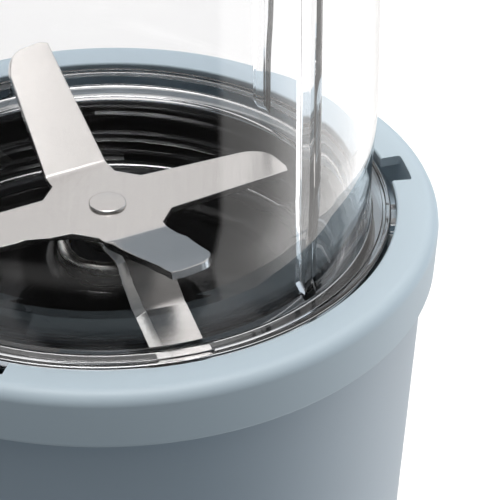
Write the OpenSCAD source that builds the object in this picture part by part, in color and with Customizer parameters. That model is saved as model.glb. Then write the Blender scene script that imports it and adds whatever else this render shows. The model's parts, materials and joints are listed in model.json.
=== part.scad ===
// Personal countertop blender: a tapered motor base with a bayonet collar,
// a clear cup standing mouth down in it, and a screw-on blade unit between them.
// The origin is the centre of the underside, +Z is up and the front faces -Y.

/* [Overall size] */
// Height of the collar's rim above the table
rim_h = 150; // [150:1:190]
// Height of the cup's closed end above the rim
cup_h = 165; // [125:1:220]
// Outer radius of the cup's wall
cup_r = 46.8; // [46.8:0.2:58]
// How much narrower the base is at its foot than under the collar, on the radius
base_draw = 9.9; // [5:0.1:12]

/* [Cup] */
// Wall thickness of the cup
cup_wall = 2.2; // [1.6:0.1:2.8]
// Radius of the cup's closed corner
cup_corner = 9; // [5:0.5:14]
// How much narrower the neck is than the wall
neck_step = 0.8; // [0.4:0.1:2]
// Height above the rim where the neck ends
neck_h = 11; // [6:0.5:20]
// Height above the rim where the full wall starts
shoulder_h = 19; // [14:0.5:30]
// Width of the flange around the neck
flange_w = 3.5; // [2.5:0.1:4.2]
// Thickness of the flange
flange_t = 3.4; // [2.8:0.1:3.4]
// How far the flange's top lies below the rim
flange_drop = 0.3; // [0:0.1:1]
// Depth of the threaded spout below the flange
spout_h = 13.3; // [11:0.1:14]
// Wall thickness of the spout
spout_wall = 2.1; // [1.6:0.1:2.6]
// How much narrower the spout is than the neck
spout_step = 3.7; // [3:0.1:5]
// How far the ribs stand out from the wall
rib_depth = 2.8; // [2:0.1:4]
// Thickness of a rib
rib_t = 2.8; // [2:0.1:4]
// Directions of the four ribs
rib_az = [-39, 50, 141, 230];

/* [Bayonet] */
// Direction of each locked tab
tab_az = [0, 118, 236];
// Half of a tab's width, in degrees
tab_half = 3.75; // [3:0.05:4]
// Turn from locked to free, in degrees
twist = 13; // [11:0.5:16]
// Clearance on each side of a tab in its notch, in degrees
notch_play = 0.6; // [0.4:0.1:1]
// How far a tab reaches under the lip
tab_reach = 3.0; // [2:0.1:4]
// Thickness of a tab
tab_t = 2.6; // [2.2:0.1:3]
// How much the ramp under a tab rises
tab_ramp = 0.9; // [0.9:0.1:1.2]
// Where the ramp under a tab starts, past its middle
ramp_start = 1.9; // [1.8:0.1:2.2]
// Clearance above a tab
tab_gap = 0.4; // [0.3:0.05:0.6]
// Clearance outside a tab
notch_gap = 0.6; // [0.4:0.1:1]
// Gap between the flange and the collar's lip
rim_gap = 0.9; // [0.5:0.1:1.5]

/* [Collar and base] */
// Thickness of the lip over the tabs
lip_t = 1.8; // [1.4:0.1:2.6]
// Thickness of the collar's wall
collar_wall = 4; // [3:0.1:6]
// Height of the collar's visible side
collar_h = 11; // [10:0.1:16]
// Radius of the collar's outer edge
collar_edge = 2.4; // [1:0.1:3]
// Narrowing of the collar's side towards its lower edge
collar_draft = 0.8; // [0:0.1:1.5]
// Thickness of the ledge under the tabs
ledge_t = 2.5; // [2:0.1:3]
// Step inwards from the collar to the housing
seam_in = 2.5; // [1.5:0.1:3]
// Wall thickness of the housing
shell_t = 2.2; // [1.8:0.1:2.4]
// Height of the housing's lower edge above the table
foot_gap = 2; // [1:0.1:4]
// Height of the tongue that locates the collar
tongue_h = 1.8; // [1:0.1:2]

/* [Blade unit] */
// Radial room between the spout and the holder's wall
thread_gap = 1.6; // [1.3:0.1:2]
// Height of a thread ridge
thread_h = 0.9; // [0.6:0.1:1.1]
// Pitch of the thread
thread_pitch = 4.3; // [3.5:0.1:5]
// Wall thickness of the holder
holder_wall = 2.5; // [2:0.1:3.5]
// Height from the flange to the holder's top edge
holder_drop = 1.9; // [1.5:0.1:2.5]
// Depth of the holder's floor below the rim
bowl_depth = 22; // [21:0.5:26]
// Thickness of the holder's floor
bowl_t = 2.5; // [2:0.1:4]
// Outer radius of the drive skirt under the holder
skirt_r = 34; // [24:0.5:36]
// Height of the drive skirt
skirt_h = 6; // [4:0.5:8]
// Radius of the bearing housing
hub_r = 9.1; // [8:0.1:11]
// Radius of the blade shaft
blade_shaft_r = 3.0; // [2.5:0.1:3.4]
// Running clearance of a shaft in its bush
run_gap = 0.04; // [0.02:0.01:0.1]

/* [Blades] */
// Gap between the blade tips and the spout
tip_gap = 6.7; // [5:0.1:12]
// Height of the upper blade's flat top above the rim
blade_top = 0.5; // [-1:0.1:2]
// Thickness of the upper blade
blade_t = 1.3; // [1:0.1:2]
// Thickness of the lower blade
low_blade_t = 1.8; // [1:0.1:2.5]
// Half width of an arm at its root
arm_root = 6; // [5:0.1:6.5]
// Half width of an arm at its tip
arm_tip = 4.5; // [3.5:0.1:5]
// Direction of each upper arm
upper_az = [27, 118, 205, 298];
// Slope of each upper arm above the flat
upper_slope = [0, 35, 0, 17];
// Distance of each upper arm's bend from the middle
upper_bend = [10.5, 12.8, 10.5, 11.3];
// Direction of each lower arm
lower_az = [299, 119];
// Slope of a lower arm between its two bends, below the flat
lower_slope = 46; // [30:1:50]
// Slope of a lower arm's end, below the flat
lower_end_slope = 35; // [15:1:36]
// How far in from their tips the lower arms bend down, and then less steeply
lower_bend = [19, 12.5];
// How much shorter than the upper arms the lower arms reach
lower_short = 2.5; // [2:0.1:6]
// Thickness of the washer between the blades
washer_t = 1.4; // [1:0.1:2]
// Radius of the riveted shaft head
rivet_r = 3.3; // [3:0.1:4]

/* [Switch plungers] */
// Radius of a plunger's head
plunger_r = 1.8; // [1.5:0.1:2]
// Radius of a plunger's rod
rod_r = 1.2; // [1:0.1:1.3]
// Travel of a plunger
plunger_travel = 1.5; // [1.2:0.1:1.5]
// Sliding clearance of a plunger in its guides
guide_gap = 0.05; // [0.03:0.01:0.1]

/* [Motor] */
// Outer radius of the stator
stator_r = 32; // [30:0.5:34]
// Height of the stator's stack
stack_h = 32; // [26:0.5:34]
// Outer radius of the armature
armature_r = 15.8; // [14:0.1:17]
// Radius of the motor shaft
motor_shaft_r = 4; // [3.5:0.1:4.2]
// Outer radius of a ball bearing
bearing_r = 11; // [10:0.5:12]
// Height of a ball bearing
bearing_h = 7; // [6:0.5:8]
// Radius of the cooling fan
fan_r = 29; // [26:0.5:31]
// Radius of the cord's way through the gland
cord_bore = 3.6; // [3:0.1:4]

/* [Hidden] */
$fn = 96;
part_gap = 0.3;        // gap between pieces on different bodies
fit_gap = 0.1;         // gap between pieces of the base that slot together
eps = 0.01;

neck_r = cup_r - neck_step;
flange_r = neck_r + flange_w;
rim_in_r = flange_r + rim_gap;
tab_r = rim_in_r + tab_reach;
notch_r = tab_r + notch_gap;
collar_r = notch_r + collar_wall;
shell_r = collar_r - seam_in;
spout_r = neck_r - spout_step;
spout_in = spout_r - spout_wall;
holder_in = spout_r + thread_gap;
holder_r = holder_in + holder_wall;
liner_in = holder_r + part_gap;
liner_t = 1.5;
liner_r = liner_in + liner_t;
plunger_at = liner_r + 0.5 + plunger_r;
blade_reach = spout_in - tip_gap;

seam_z = rim_h - collar_h;
ledge_z = seam_z + ledge_t;
flange_top = rim_h - flange_drop;
flange_low = flange_top - flange_t;
spout_end = flange_low - spout_h;
tab_top = rim_h - lip_t - tab_gap;
tab_low = tab_top - tab_t;
holder_top = flange_low - holder_drop;
bowl_z = rim_h - bowl_depth;
holder_low = bowl_z - bowl_t;
skirt_low = holder_low - skirt_h;
shelf_z = bowl_z + 3.2;          // step in the bowl that carries the gasket
driven_h = 5;
driven_low = holder_low - 1.6 - driven_h;
socket_z = driven_low - 0.6;     // floor of the drive coupling's socket
drive_low = socket_z - 3;
shelf_in = spout_in - 1.6;
step_z = holder_low - 0.4;       // step in the well under the holder
step_t = 2.2;
pit_r = skirt_r + 0.6;
pit_z = drive_low - 0.8;         // floor of the well's pit
pit_t = 3;
deck_low = pit_z - pit_t;
liner_top = ledge_z + 1.5;
deck_screw_at = liner_r - 4.7;
arm_z = rim_h + blade_top;
low_arm_z = arm_z - blade_t - washer_t;

plunger_top = tab_low - part_gap;
plunger_low = ledge_z - 5.5;     // underside of a plunger's head
lug_z = plunger_low - plunger_travel - 3.5;   // top of the guide lug that carries the spring
lug_t = 2.5;
lever_z = step_z - step_t - 0.6; // top of a switch's lever
lever_t = 0.4;
switch_h = 8;
switch_at = liner_r - 4;
tongue_t = 1.2;

pillar_h = 10;
pillar_r = 4.5;
pillar_at = 29;
bush_h = 4;
plate_t = 3;
bracket_z = deck_low - pillar_h - bush_h - plate_t;
stack_top = bracket_z - 12;
stack_low = stack_top - stack_h;
coil_over = 6;
commutator_top = stack_low - coil_over - 2;
commutator_h = 10;
lower_plate_z = commutator_top - commutator_h - 5 - plate_t;
lower_bearing_z = lower_plate_z - 4;
fan_top = lower_bearing_z - 2;
fan_h = 8;
bolt_at = stator_r - 2.5;
bolt_r = 1.6;
seat_r = bearing_r + 3;
pole_in = armature_r + 0.5;
yoke_in = stator_r - 5;
shoe_t = 3.2;
neck_half = 8;
coil_x = pole_in + shoe_t + 0.3;
coil_t = 2.4;
brush_z = commutator_top - commutator_h / 2;
commutator_r = 10;
square_w = 4.2;
spacer_h = 2.2;
cover_z = foot_gap + 0.5;
cover_t = 3;
foot_r = 5.5;
foot_az = [45, 135, 225, 315];
screw_az = [0, 120, 240];
deck_screw_az = [59, 177, 298];
gland_z = 18;
board_az = 200;

paint = "#7c8d99";
black = "#15171a";
steel = "#c9c6c0";
iron = "#8b8d90";
copper = "#b56a33";
rubber = "#2b2d30";

// Radius of the housing's outside at a height, and of its inside
function shell_at(z) = shell_r - base_draw * (seam_z - z) / (seam_z - foot_gap);
function shell_in(z) = shell_at(z) - shell_t;

// Points of an arc about a centre in a profile
function arc(c, r, a0, a1, n = 8) =
    [for (i = [0:n]) c + r * [cos(a0 + (a1 - a0) * i / n), sin(a0 + (a1 - a0) * i / n)]];

// Points down a threaded wall at radius r, from its top ridge: dir 1 stands outwards, -1 inwards
function thread(r, top, n, dir) = [for (i = [0 : n]) let (z = top - i * thread_pitch)
    each [[r, z + 0.9], [r + dir * thread_h, z + 0.35], [r + dir * thread_h, z - 0.35], [r, z - 0.9]]];

module tube(r_out, r_in, h, z = 0) {
    translate([0, 0, z]) difference() {
        cylinder(r = r_out, h = h);
        translate([0, 0, -1]) cylinder(r = r_in, h = h + 2);
    }
}

module at(az, r, z = 0) {
    rotate([0, 0, az]) translate([r, 0, z]) children();
}

// A slice of a ring between two radii, centred on a direction
module ring_slice(r_in, r_out, half, az, z, h) {
    rotate([0, 0, az - half]) translate([0, 0, z])
        rotate_extrude(angle = 2 * half) translate([r_in, 0]) square([r_out - r_in, h]);
}

// ---- base ----

module housing() {
    top_in = shell_in(seam_z);
    color(paint) difference() {
        union() {
            rotate_extrude() polygon(concat(
                arc([shell_at(foot_gap) - 1.5, foot_gap + 1.5], 1.5, -90, -4),
                [[shell_r, seam_z], [top_in + tongue_t, seam_z],
                 [top_in + tongue_t, seam_z + tongue_h], [top_in, seam_z + tongue_h],
                 [top_in, seam_z], [shell_in(foot_gap), foot_gap]]));
            for (a = deck_screw_az) wall_boss(a, deck_screw_at, step_z - step_t - 22, 22, 4);
            for (a = screw_az) wall_boss(a, shell_in(foot_gap) - 6, cover_z + cover_t, 16, 4);
            for (s = [-1, 1]) wall_web(board_az + s * 26, stator_r + 4, stack_low + 8, 16);
        }
        for (a = deck_screw_az)
            at(a, deck_screw_at, step_z - step_t - 18) cylinder(r = 1.3, h = 19);
        for (a = screw_az) at(a, shell_in(foot_gap) - 6, cover_z) cylinder(r = 1.3, h = 15);
        translate([0, shell_at(gland_z), gland_z]) rotate([90, 0, 0])
            cylinder(r = cord_bore + 2.4 + fit_gap, h = 12, center = true);
    }
}

// A radial web from a distance r out into the housing's wall
module wall_web(az, r, z, h) {
    at(az, r, z) translate([0, -1.25, 0]) cube([shell_in(z + h) + 0.3 - r, 2.5, h]);
}

// A screw boss held by a web
module wall_boss(az, r, z, h, boss_r) {
    at(az, r, z) cylinder(r = boss_r, h = h);
    wall_web(az, r, z + h - 15, 14);
}

module top_collar() {
    groove_r = notch_r + 0.2;
    top_in = shell_in(seam_z);
    low_r = collar_r - collar_draft;
    color("#9fb0bb") difference() {
        rotate_extrude() polygon(concat(
            [[liner_r + part_gap, seam_z], [top_in - fit_gap, seam_z],
             [top_in - fit_gap, seam_z + tongue_h + fit_gap],
             [top_in + tongue_t + fit_gap, seam_z + tongue_h + fit_gap],
             [top_in + tongue_t + fit_gap, seam_z]],
            arc([low_r - 0.8, seam_z + 0.8], 0.8, -90, 0, 5),
            arc([collar_r - collar_edge, rim_h - collar_edge], collar_edge, 0, 90),
            arc([rim_in_r + 0.4, rim_h - 0.4], 0.4, 90, 180, 4),
            [[rim_in_r, rim_h - lip_t], [groove_r, rim_h - lip_t], [groove_r, ledge_z],
             [liner_r + part_gap, ledge_z]]));
        for (a = tab_az)
            ring_slice(rim_in_r - 2, notch_r, tab_half + notch_play, a + twist, rim_h - lip_t - 1, lip_t + 2);
        for (a = tab_az) at(a, plunger_at, seam_z - 1) cylinder(r = plunger_r + guide_gap, h = collar_h);
    }
}

module well_liner() {
    low_r = pit_r + 1.8;
    color(paint) difference() {
        union() {
            rotate_extrude() polygon([[14, deck_low], [low_r, deck_low], [low_r, step_z - step_t],
                [liner_r, step_z - step_t], [liner_r, liner_top], [liner_in, liner_top],
                [liner_in, step_z], [pit_r, step_z], [pit_r, pit_z], [17, pit_z],
                [17, pit_z + 2], [14, pit_z + 2]]);
            for (a = foot_az) at(a, pillar_at, deck_low - pillar_h) cylinder(r = pillar_r, h = pillar_h + 1);
            for (a = tab_az) at(a, liner_in + 0.5, lug_z - lug_t) translate([0, -3, 0])
                cube([plunger_at + rod_r + 0.4 - liner_in - 0.5, 6, lug_t]);
        }
        for (a = foot_az) at(a, pillar_at, deck_low - pillar_h - 1) cylinder(r = 1.3, h = pillar_h);
        for (a = deck_screw_az) at(a, deck_screw_at, step_z - step_t - 1) {
            cylinder(r = 1.8, h = step_t + 2);
            translate([0, 0, step_t - 0.3]) cylinder(r = 3.1, h = 3);
        }
        for (a = tab_az) at(a, plunger_at, lug_z - lug_t - 1) cylinder(r = rod_r + guide_gap, h = lug_t + 2);
    }
}

module bottom_cover() {
    color(black) difference() {
        translate([0, 0, cover_z]) cylinder(r = shell_in(cover_z) - part_gap, h = cover_t);
        for (a = foot_az) at(a, shell_in(foot_gap) - 10, cover_z - 1) cylinder(r = 2.6, h = cover_t + 2);
        for (a = screw_az) at(a, shell_in(foot_gap) - 6, cover_z - 1) {
            cylinder(r = 1.7, h = cover_t + 2);
            cylinder(r = 3.3, h = 2.5);
        }
        for (r = [8 : 5 : 23], a = [0 : 90 : 270])
            ring_slice(r, r + 2.4, 36, a, cover_z - 1, cover_t + 2);
    }
}

module rubber_feet() {
    color(rubber) for (a = foot_az) at(a, shell_in(foot_gap) - 10) {
        cylinder(r1 = foot_r - 0.6, r2 = foot_r, h = cover_z);
        cylinder(r = 2.5, h = cover_z + cover_t + 0.5);
        translate([0, 0, cover_z + cover_t]) cylinder(r1 = 3.3, r2 = 2.2, h = 2);
    }
}

// A screw standing on its shank, head down; its thread ends at height h
module screw(head_r, head_h, shank_r, h) {
    difference() {
        cylinder(r = head_r, h = head_h);
        for (a = [0, 90]) rotate([0, 0, a]) translate([-head_r * 0.6, -0.4, -1])
            cube([head_r * 1.2, 0.8, 1 + head_h * 0.5]);
    }
    translate([0, 0, head_h - eps]) cylinder(r = shank_r, h = h - head_h);
}

module cover_screws() {
    color(steel) for (a = screw_az) at(a, shell_in(foot_gap) - 6, cover_z) screw(3, 1.4, 1.25, 14);
}

module deck_screws() {
    color(steel) for (a = deck_screw_az)
        at(a, deck_screw_at, step_z - 0.1) mirror([0, 0, 1]) screw(2.9, 1.1, 1.25, 17);
}

module cord_gland() {
    wall = shell_at(gland_z);
    color(rubber) translate([0, wall, gland_z]) rotate([-90, 0, 0]) difference() {
        union() {
            translate([0, 0, -shell_t - 3]) cylinder(r = cord_bore + 2.4, h = shell_t + 6);
            translate([0, 0, 0.9]) cylinder(r1 = cord_bore + 4, r2 = cord_bore + 3, h = 2.1);
            translate([0, 0, -shell_t - 3]) cylinder(r = cord_bore + 4, h = 1.8);
        }
        translate([0, 0, -shell_t - 4]) cylinder(r = cord_bore, h = shell_t + 8);
    }
}

// ---- motor, fixed pieces ----

// A round plate with air windows, a bearing seat and two bolt sleeves
module bracket(z, seat_z, seat_h, bearing_z, sleeve_z, sleeve_h) {
    difference() {
        union() {
            translate([0, 0, z]) cylinder(r = stator_r + 2, h = plate_t);
            translate([0, 0, seat_z]) cylinder(r = seat_r, h = seat_h);
            for (a = [90, 270]) at(a, bolt_at, sleeve_z) cylinder(r = 3.4, h = sleeve_h);
        }
        translate([0, 0, bearing_z]) cylinder(r = bearing_r + 0.02, h = bearing_h + 20);
        translate([0, 0, seat_z - 1]) cylinder(r = bearing_r - 2.5, h = seat_h + 2);
        for (a = [90, 270]) at(a, bolt_at, sleeve_z - 30) cylinder(r = bolt_r + 0.1, h = 200);
        for (a = foot_az) at(a, pillar_at, z - 1) cylinder(r = 1.8, h = plate_t + 2);
        for (a = [0, 180]) ring_slice(seat_r + 3, stator_r - 2, 22, a, z - 1, plate_t + 2);
    }
}

module upper_bracket() {
    color(iron) bracket(bracket_z, bracket_z - 2, bearing_h + 2, bracket_z, stack_top, bracket_z - stack_top);
}

module lower_bracket() {
    color(iron) mirror_bracket();
}

// The lower bracket's seat opens downwards, so it is the same plate turned over
module mirror_bracket() {
    top = lower_plate_z + plate_t;
    translate([0, 0, top]) mirror([0, 0, 1])
        bracket(0, -2, bearing_h + 2, 0, -(stack_low - top), stack_low - top);
}

module mount_bushes() {
    color(rubber) for (a = foot_az) at(a, pillar_at) tube(5.5, 1.8, bush_h, deck_low - pillar_h - bush_h);
}

module motor_screws() {
    color(steel) for (a = foot_az) at(a, pillar_at, bracket_z - 2) screw(3.2, 2, 1.25, 14);
}

module motor_bolts() {
    low = lower_plate_z - 3;
    color(steel) for (a = [90, 270]) at(a, bolt_at) {
        translate([0, 0, low]) cylinder(r = 3.2, h = 3, $fn = 6);
        translate([0, 0, low]) cylinder(r = bolt_r, h = bracket_z + plate_t - low + 1);
        translate([0, 0, bracket_z + plate_t]) cylinder(r = 3, h = 2.2);
    }
}

module stator_core() {
    color(iron) translate([0, 0, stack_low]) difference() {
        union() {
            tube(stator_r, yoke_in, stack_h);
            for (s = [0, 180]) {
                ring_slice(pole_in, pole_in + shoe_t, 55, s, 0, stack_h);
                rotate([0, 0, s]) intersection() {
                    translate([pole_in + 1, -neck_half, 0]) cube([yoke_in - pole_in, 2 * neck_half, stack_h]);
                    cylinder(r = yoke_in + 1, h = stack_h);
                }
            }
        }
        for (a = [90, 270]) at(a, bolt_at, -1) cylinder(r = bolt_r + 0.2, h = stack_h + 2);
    }
}

module field_coils() {
    half_y = sqrt(pow(yoke_in, 2) - pow(coil_x + coil_t, 2)) - 0.8;
    color(copper) for (s = [0, 180]) rotate([0, 0, s]) difference() {
        translate([coil_x, -half_y, stack_low - coil_over])
            cube([coil_t, 2 * half_y, stack_h + 2 * coil_over]);
        translate([coil_x - 1, -neck_half - 0.2, stack_low - 0.2])
            cube([coil_t + 2, 2 * neck_half + 0.4, stack_h + 0.4]);
    }
}

module ball_bearing() {
    difference() {
        cylinder(r = bearing_r, h = bearing_h);
        translate([0, 0, -1]) cylinder(r = motor_shaft_r + run_gap, h = bearing_h + 2);
        for (z = [-1, bearing_h - 0.6]) translate([0, 0, z])
            tube(bearing_r - 1.6, motor_shaft_r + 2, z < 0 ? 1.6 : 2);
    }
}

module upper_bearing() {
    color(steel) translate([0, 0, bracket_z]) ball_bearing();
}

module lower_bearing() {
    color(steel) translate([0, 0, lower_plate_z + plate_t - bearing_h]) ball_bearing();
}

module brush_holders() {
    base_z = lower_plate_z + plate_t;
    color(black) for (s = [0, 180]) rotate([0, 0, s]) difference() {
        union() {
            translate([commutator_r + 2, -4.5, brush_z - 5]) cube([14, 9, 10]);
            translate([commutator_r + 6, -3.5, base_z]) cube([6, 7, brush_z - 5 - base_z + eps]);
        }
        translate([commutator_r, -3, brush_z - 3.5]) cube([14.5, 6, 7]);
    }
}

module carbon_brushes() {
    color("#33343a") for (s = [0, 180]) rotate([0, 0, s])
        translate([commutator_r + part_gap, -2.9, brush_z - 3.4]) cube([7, 5.8, 6.8]);
}

module brush_springs() {
    color(steel) for (s = [0, 180]) rotate([0, 0, s])
        for (i = [0 : 4]) translate([commutator_r + 7.8 + i * 1.4, 0, brush_z])
            rotate([0, 90, 0]) tube(2.4, 1.8, 0.7);
}

module control_board() {
    rotate([0, 0, board_az]) {
        color("#3d5a46") translate([stator_r + 4, -15, stack_low + 1]) cube([1.6, 30, stack_h - 2]);
        color(black) translate([stator_r + 5.6, -9, stack_low + 5]) cube([4, 9, 13]);
        color("#b9a04a") translate([stator_r + 5.6, 2.5, stack_low + 6]) cube([3.6, 6, 10]);
        color(steel) translate([stator_r + 5.6, 5, stack_low + 24]) rotate([0, 90, 0]) cylinder(r = 3, h = 4);
    }
}

module microswitches() {
    tip = plunger_at + rod_r - 0.2;
    for (a = tab_az) rotate([0, 0, a]) {
        color(black) translate([switch_at - 6, -6.4, lever_z - 1.4 - switch_h]) cube([6, 12.8, switch_h]);
        color(black) translate([switch_at - 3.5, -1.5, lever_z - 1.5]) cube([2, 3, 1.2]);
        color(steel) translate([switch_at - 5.5, -2, lever_z - lever_t])
            cube([tip - switch_at + 5.5, 4, lever_t]);
        color(steel) translate([switch_at - 5.5, -2, lever_z - 1.5]) cube([0.5, 4, 1.2]);
    }
}

// One ring of points about a place on a lead, across its direction
function lead_ring(place, dir, r, sides) =
    let (u = cross(dir, [1, 0, 0]), side = u / norm(u), up = cross(side, dir))
    [for (k = [0 : sides - 1]) place + r * (side * cos(k * 360 / sides) + up * sin(k * 360 / sides))];

// A lead: an eight-sided tube swept along a list of points
module lead(points, r = 1.1, sides = 8) {
    n = len(points);
    ways = [for (i = [0 : n - 1]) points[min(i + 1, n - 1)] - points[max(i - 1, 0)]];
    rings = [for (i = [0 : n - 1]) each lead_ring(points[i], ways[i] / norm(ways[i]), r, sides)];
    walls = [for (i = [0 : n - 2], k = [0 : sides - 1]) let (a = i * sides, m = (k + 1) % sides)
        [a + k, a + m, a + sides + m, a + sides + k]];
    first = [for (k = [sides - 1 : -1 : 0]) k];
    last = [for (k = [0 : sides - 1]) (n - 1) * sides + k];
    polyhedron(rings, concat(walls, [first, last]), convexity = 6);
}

module lead_wires() {
    top = lever_z - 1.4 - switch_h;
    gland_in = shell_at(gland_z) - shell_t - 3;
    y_in = gland_in - 3.5;
    color("#7a3030") for (s = [-1, 1])
        lead([[s * 1.6, gland_in - 1, gland_z], [s * 3, y_in, gland_z], [s * 6, y_in, stack_low + 6],
            [s * 6, y_in + 0.5, stack_top], [s * 12, y_in - 1, top - 8]]);
}

// ---- switch plungers ----

module plunger(k) {
    color("#dfe2e4") at(tab_az[k], plunger_at) {
        translate([0, 0, lever_z + part_gap]) cylinder(r = rod_r, h = plunger_low - lever_z);
        translate([0, 0, plunger_low]) cylinder(r = plunger_r, h = plunger_top - plunger_low - 0.5);
        translate([0, 0, plunger_top - 0.5 - eps]) cylinder(r1 = plunger_r, r2 = plunger_r - 0.5, h = 0.5);
    }
}

module plunger_1() { plunger(0); }
module plunger_2() { plunger(1); }
module plunger_3() { plunger(2); }

// A coil spring drawn as a stack of turns around the plunger's rod
module plunger_spring(k) {
    turns = 5;
    gap = (plunger_low - lug_z) / turns;
    color(steel) at(tab_az[k], plunger_at)
        for (i = [0 : turns - 1]) tube(rod_r + 0.65, rod_r + 0.2, 0.5, lug_z + 0.2 + i * gap);
}

module plunger_spring_1() { plunger_spring(0); }
module plunger_spring_2() { plunger_spring(1); }
module plunger_spring_3() { plunger_spring(2); }

// ---- motor, turning pieces ----

module motor_shaft() {
    low = fan_top - fan_h - 1.5;
    color(steel) translate([0, 0, low]) cylinder(r = motor_shaft_r, h = socket_z - 1.4 - low);
}

module armature_core() {
    slots = 12;
    color(iron) difference() {
        tube(armature_r, motor_shaft_r + 0.02, stack_h, stack_low);
        for (i = [0 : slots - 1]) at(i * 360 / slots, armature_r - 3.2, stack_low - 1)
            cylinder(r = 1.7, h = stack_h + 2);
        for (i = [0 : slots - 1]) at(i * 360 / slots, armature_r - 3.2, stack_low - 1)
            translate([0, -0.5, 0]) cube([5, 1, stack_h + 2]);
    }
}

module armature_winding() {
    slots = 12;
    end_h = 5.5;
    in_r = motor_shaft_r + 1.5;
    out_r = armature_r - 1.4;
    color(copper) {
        for (z = [stack_low - 0.2 - end_h, stack_top + 0.2]) rotate_extrude() polygon(concat(
            [[in_r, z], [in_r, z + end_h]],
            arc([out_r - 2, z + end_h - 2], 2, 90, 0, 5), arc([out_r - 2, z + 2], 2, 0, -90, 5)));
        for (i = [0 : slots - 1]) at(i * 360 / slots, armature_r - 3.2, stack_low - 0.5)
            cylinder(r = 1.5, h = stack_h + 1, $fn = 24);
    }
}

module commutator() {
    bars = 12;
    color(copper) difference() {
        tube(commutator_r, motor_shaft_r + 0.02, commutator_h, commutator_top - commutator_h);
        for (i = [0 : bars - 1]) at(i * 360 / bars, commutator_r - 1, commutator_top - commutator_h - 1)
            translate([0, -0.25, 0]) cube([3, 0.5, commutator_h + 2]);
    }
}

module cooling_fan() {
    blades = 9;
    low = fan_top - fan_h;
    color("#3a3d42") union() {
        rotate_extrude() polygon([[motor_shaft_r + 0.02, low], [8, low], [8, fan_top - 1.2],
            [fan_r, fan_top - 1.2], [fan_r, fan_top], [motor_shaft_r + 0.02, fan_top]]);
        for (i = [0 : blades - 1]) rotate([0, 0, i * 360 / blades]) translate([11, -0.7, low])
            cube([fan_r - 12.5, 1.4, fan_h - 0.6]);
    }
}

// Eight coupling teeth in the profile of a star
module star(core, tip, half) {
    circle(r = core);
    for (i = [0 : 7]) rotate([0, 0, i * 45]) translate([0, -half]) square([tip, 2 * half]);
}

module drive_coupling() {
    color(black) difference() {
        union() {
            translate([0, 0, drive_low]) cylinder(r = 12.5, h = holder_low - 1.6 - drive_low);
            translate([0, 0, pit_z - 1]) cylinder(r = 8, h = drive_low - pit_z + 1 + eps);
        }
        translate([0, 0, pit_z - 2]) cylinder(r = motor_shaft_r + 0.02, h = socket_z - pit_z + 1);
        translate([0, 0, socket_z]) linear_extrude(driven_h + 2) star(7.8, 10.4, 1.9);
    }
}

// ---- cup unit ----

module cup() {
    top = rim_h + cup_h;
    wall_in = cup_r - cup_wall;
    neck_in = neck_r - cup_wall;
    seat = rim_h - 2;
    n = floor((spout_h - 3) / thread_pitch);
    color([0.85, 0.9, 0.95, 0.35]) union() {
        rotate_extrude() polygon(concat(
            [[0, top]], arc([cup_r - cup_corner, top - cup_corner], cup_corner, 90, 0),
            [[cup_r, rim_h + shoulder_h], [cup_r - neck_step * 0.25, rim_h + (shoulder_h + neck_h) / 2 + 1],
             [neck_r, rim_h + neck_h], [neck_r, flange_top + 0.3], [neck_r + 0.3, flange_top]],
            arc([flange_r - 0.5, flange_top - 0.5], 0.5, 90, 0, 4),
            [[flange_r, flange_low + 0.4], [flange_r - 0.4, flange_low], [spout_r, flange_low]],
            thread(spout_r, flange_low - 2.4, n, 1),
            [[spout_r, spout_end + 0.4], [spout_r - 0.4, spout_end], [spout_in, spout_end],
             [spout_in, seat - 1.2], [spout_in + 0.8, seat], [neck_in, seat + 0.6],
             [neck_in, rim_h + neck_h], [wall_in, rim_h + shoulder_h]],
            arc([cup_r - cup_corner, top - cup_corner], cup_corner - cup_wall, 0, 90),
            [[0, top - cup_wall]]));
        for (a = rib_az) rotate([0, 0, a]) cup_rib(seat, top - 30);
        for (a = tab_az) locking_tab(a);
    }
}

// An inner rib with a slanted lower end
module cup_rib(z0, z1) {
    root = cup_r - cup_wall + 0.5;
    crest = cup_r - cup_wall - rib_depth;
    rotate([90, 0, 0]) linear_extrude(rib_t, center = true)
        polygon([[root, z0 + 1], [crest, z0 + 4], [crest, z1 - 10], [root, z1]]);
}

module locking_tab(az) {
    mid_r = (flange_r + tab_r) / 2;
    half_len = mid_r * sin(tab_half);
    rise = tab_ramp / (half_len + ramp_start);
    difference() {
        ring_slice(flange_r - 0.8, tab_r, tab_half, az, tab_low, tab_t);
        at(az, flange_r - 2, tab_low) rotate([90, 0, 90]) linear_extrude(tab_reach + 5)
            polygon([[ramp_start, -1], [ramp_start, 0], [-half_len - 1, rise * (half_len + 1 + ramp_start)],
                     [-half_len - 1, -1]]);
    }
}

module blade_holder() {
    n = floor((holder_top - spout_end - 4) / thread_pitch);
    boss_top = bowl_z + 12;
    color(black) rotate_extrude() polygon(concat(
        [[hub_r + 0.02, holder_low + 2], [blade_shaft_r + 2, holder_low + 2], [blade_shaft_r + 2, holder_low],
         [skirt_r - 2.4, holder_low], [skirt_r - 2.4, skirt_low], [skirt_r, skirt_low], [skirt_r, holder_low],
         [holder_r - 1, holder_low], [holder_r, holder_low + 1],
         [holder_r, holder_top - 0.5], [holder_r - 0.5, holder_top], [holder_in + 0.5, holder_top],
         [holder_in, holder_top - 0.5]],
        thread(holder_in, holder_top - 3.3, n, -1),
        [[holder_in, shelf_z], [shelf_in, shelf_z], [shelf_in - 1, shelf_z - 1]],
        arc([shelf_in - 3, bowl_z + 2], 2, 0, -90, 5),
        [[hub_r + 7, bowl_z], [hub_r + 4, bowl_z + 3], [hub_r + 2.5, boss_top - 0.6], [hub_r + 1.9, boss_top],
         [hub_r + 0.02, boss_top]]));
}

module sealing_gasket() {
    color("#9aa0a4") tube(holder_in - 0.2, shelf_in + 0.4, spout_end - shelf_z, shelf_z);
}

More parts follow.
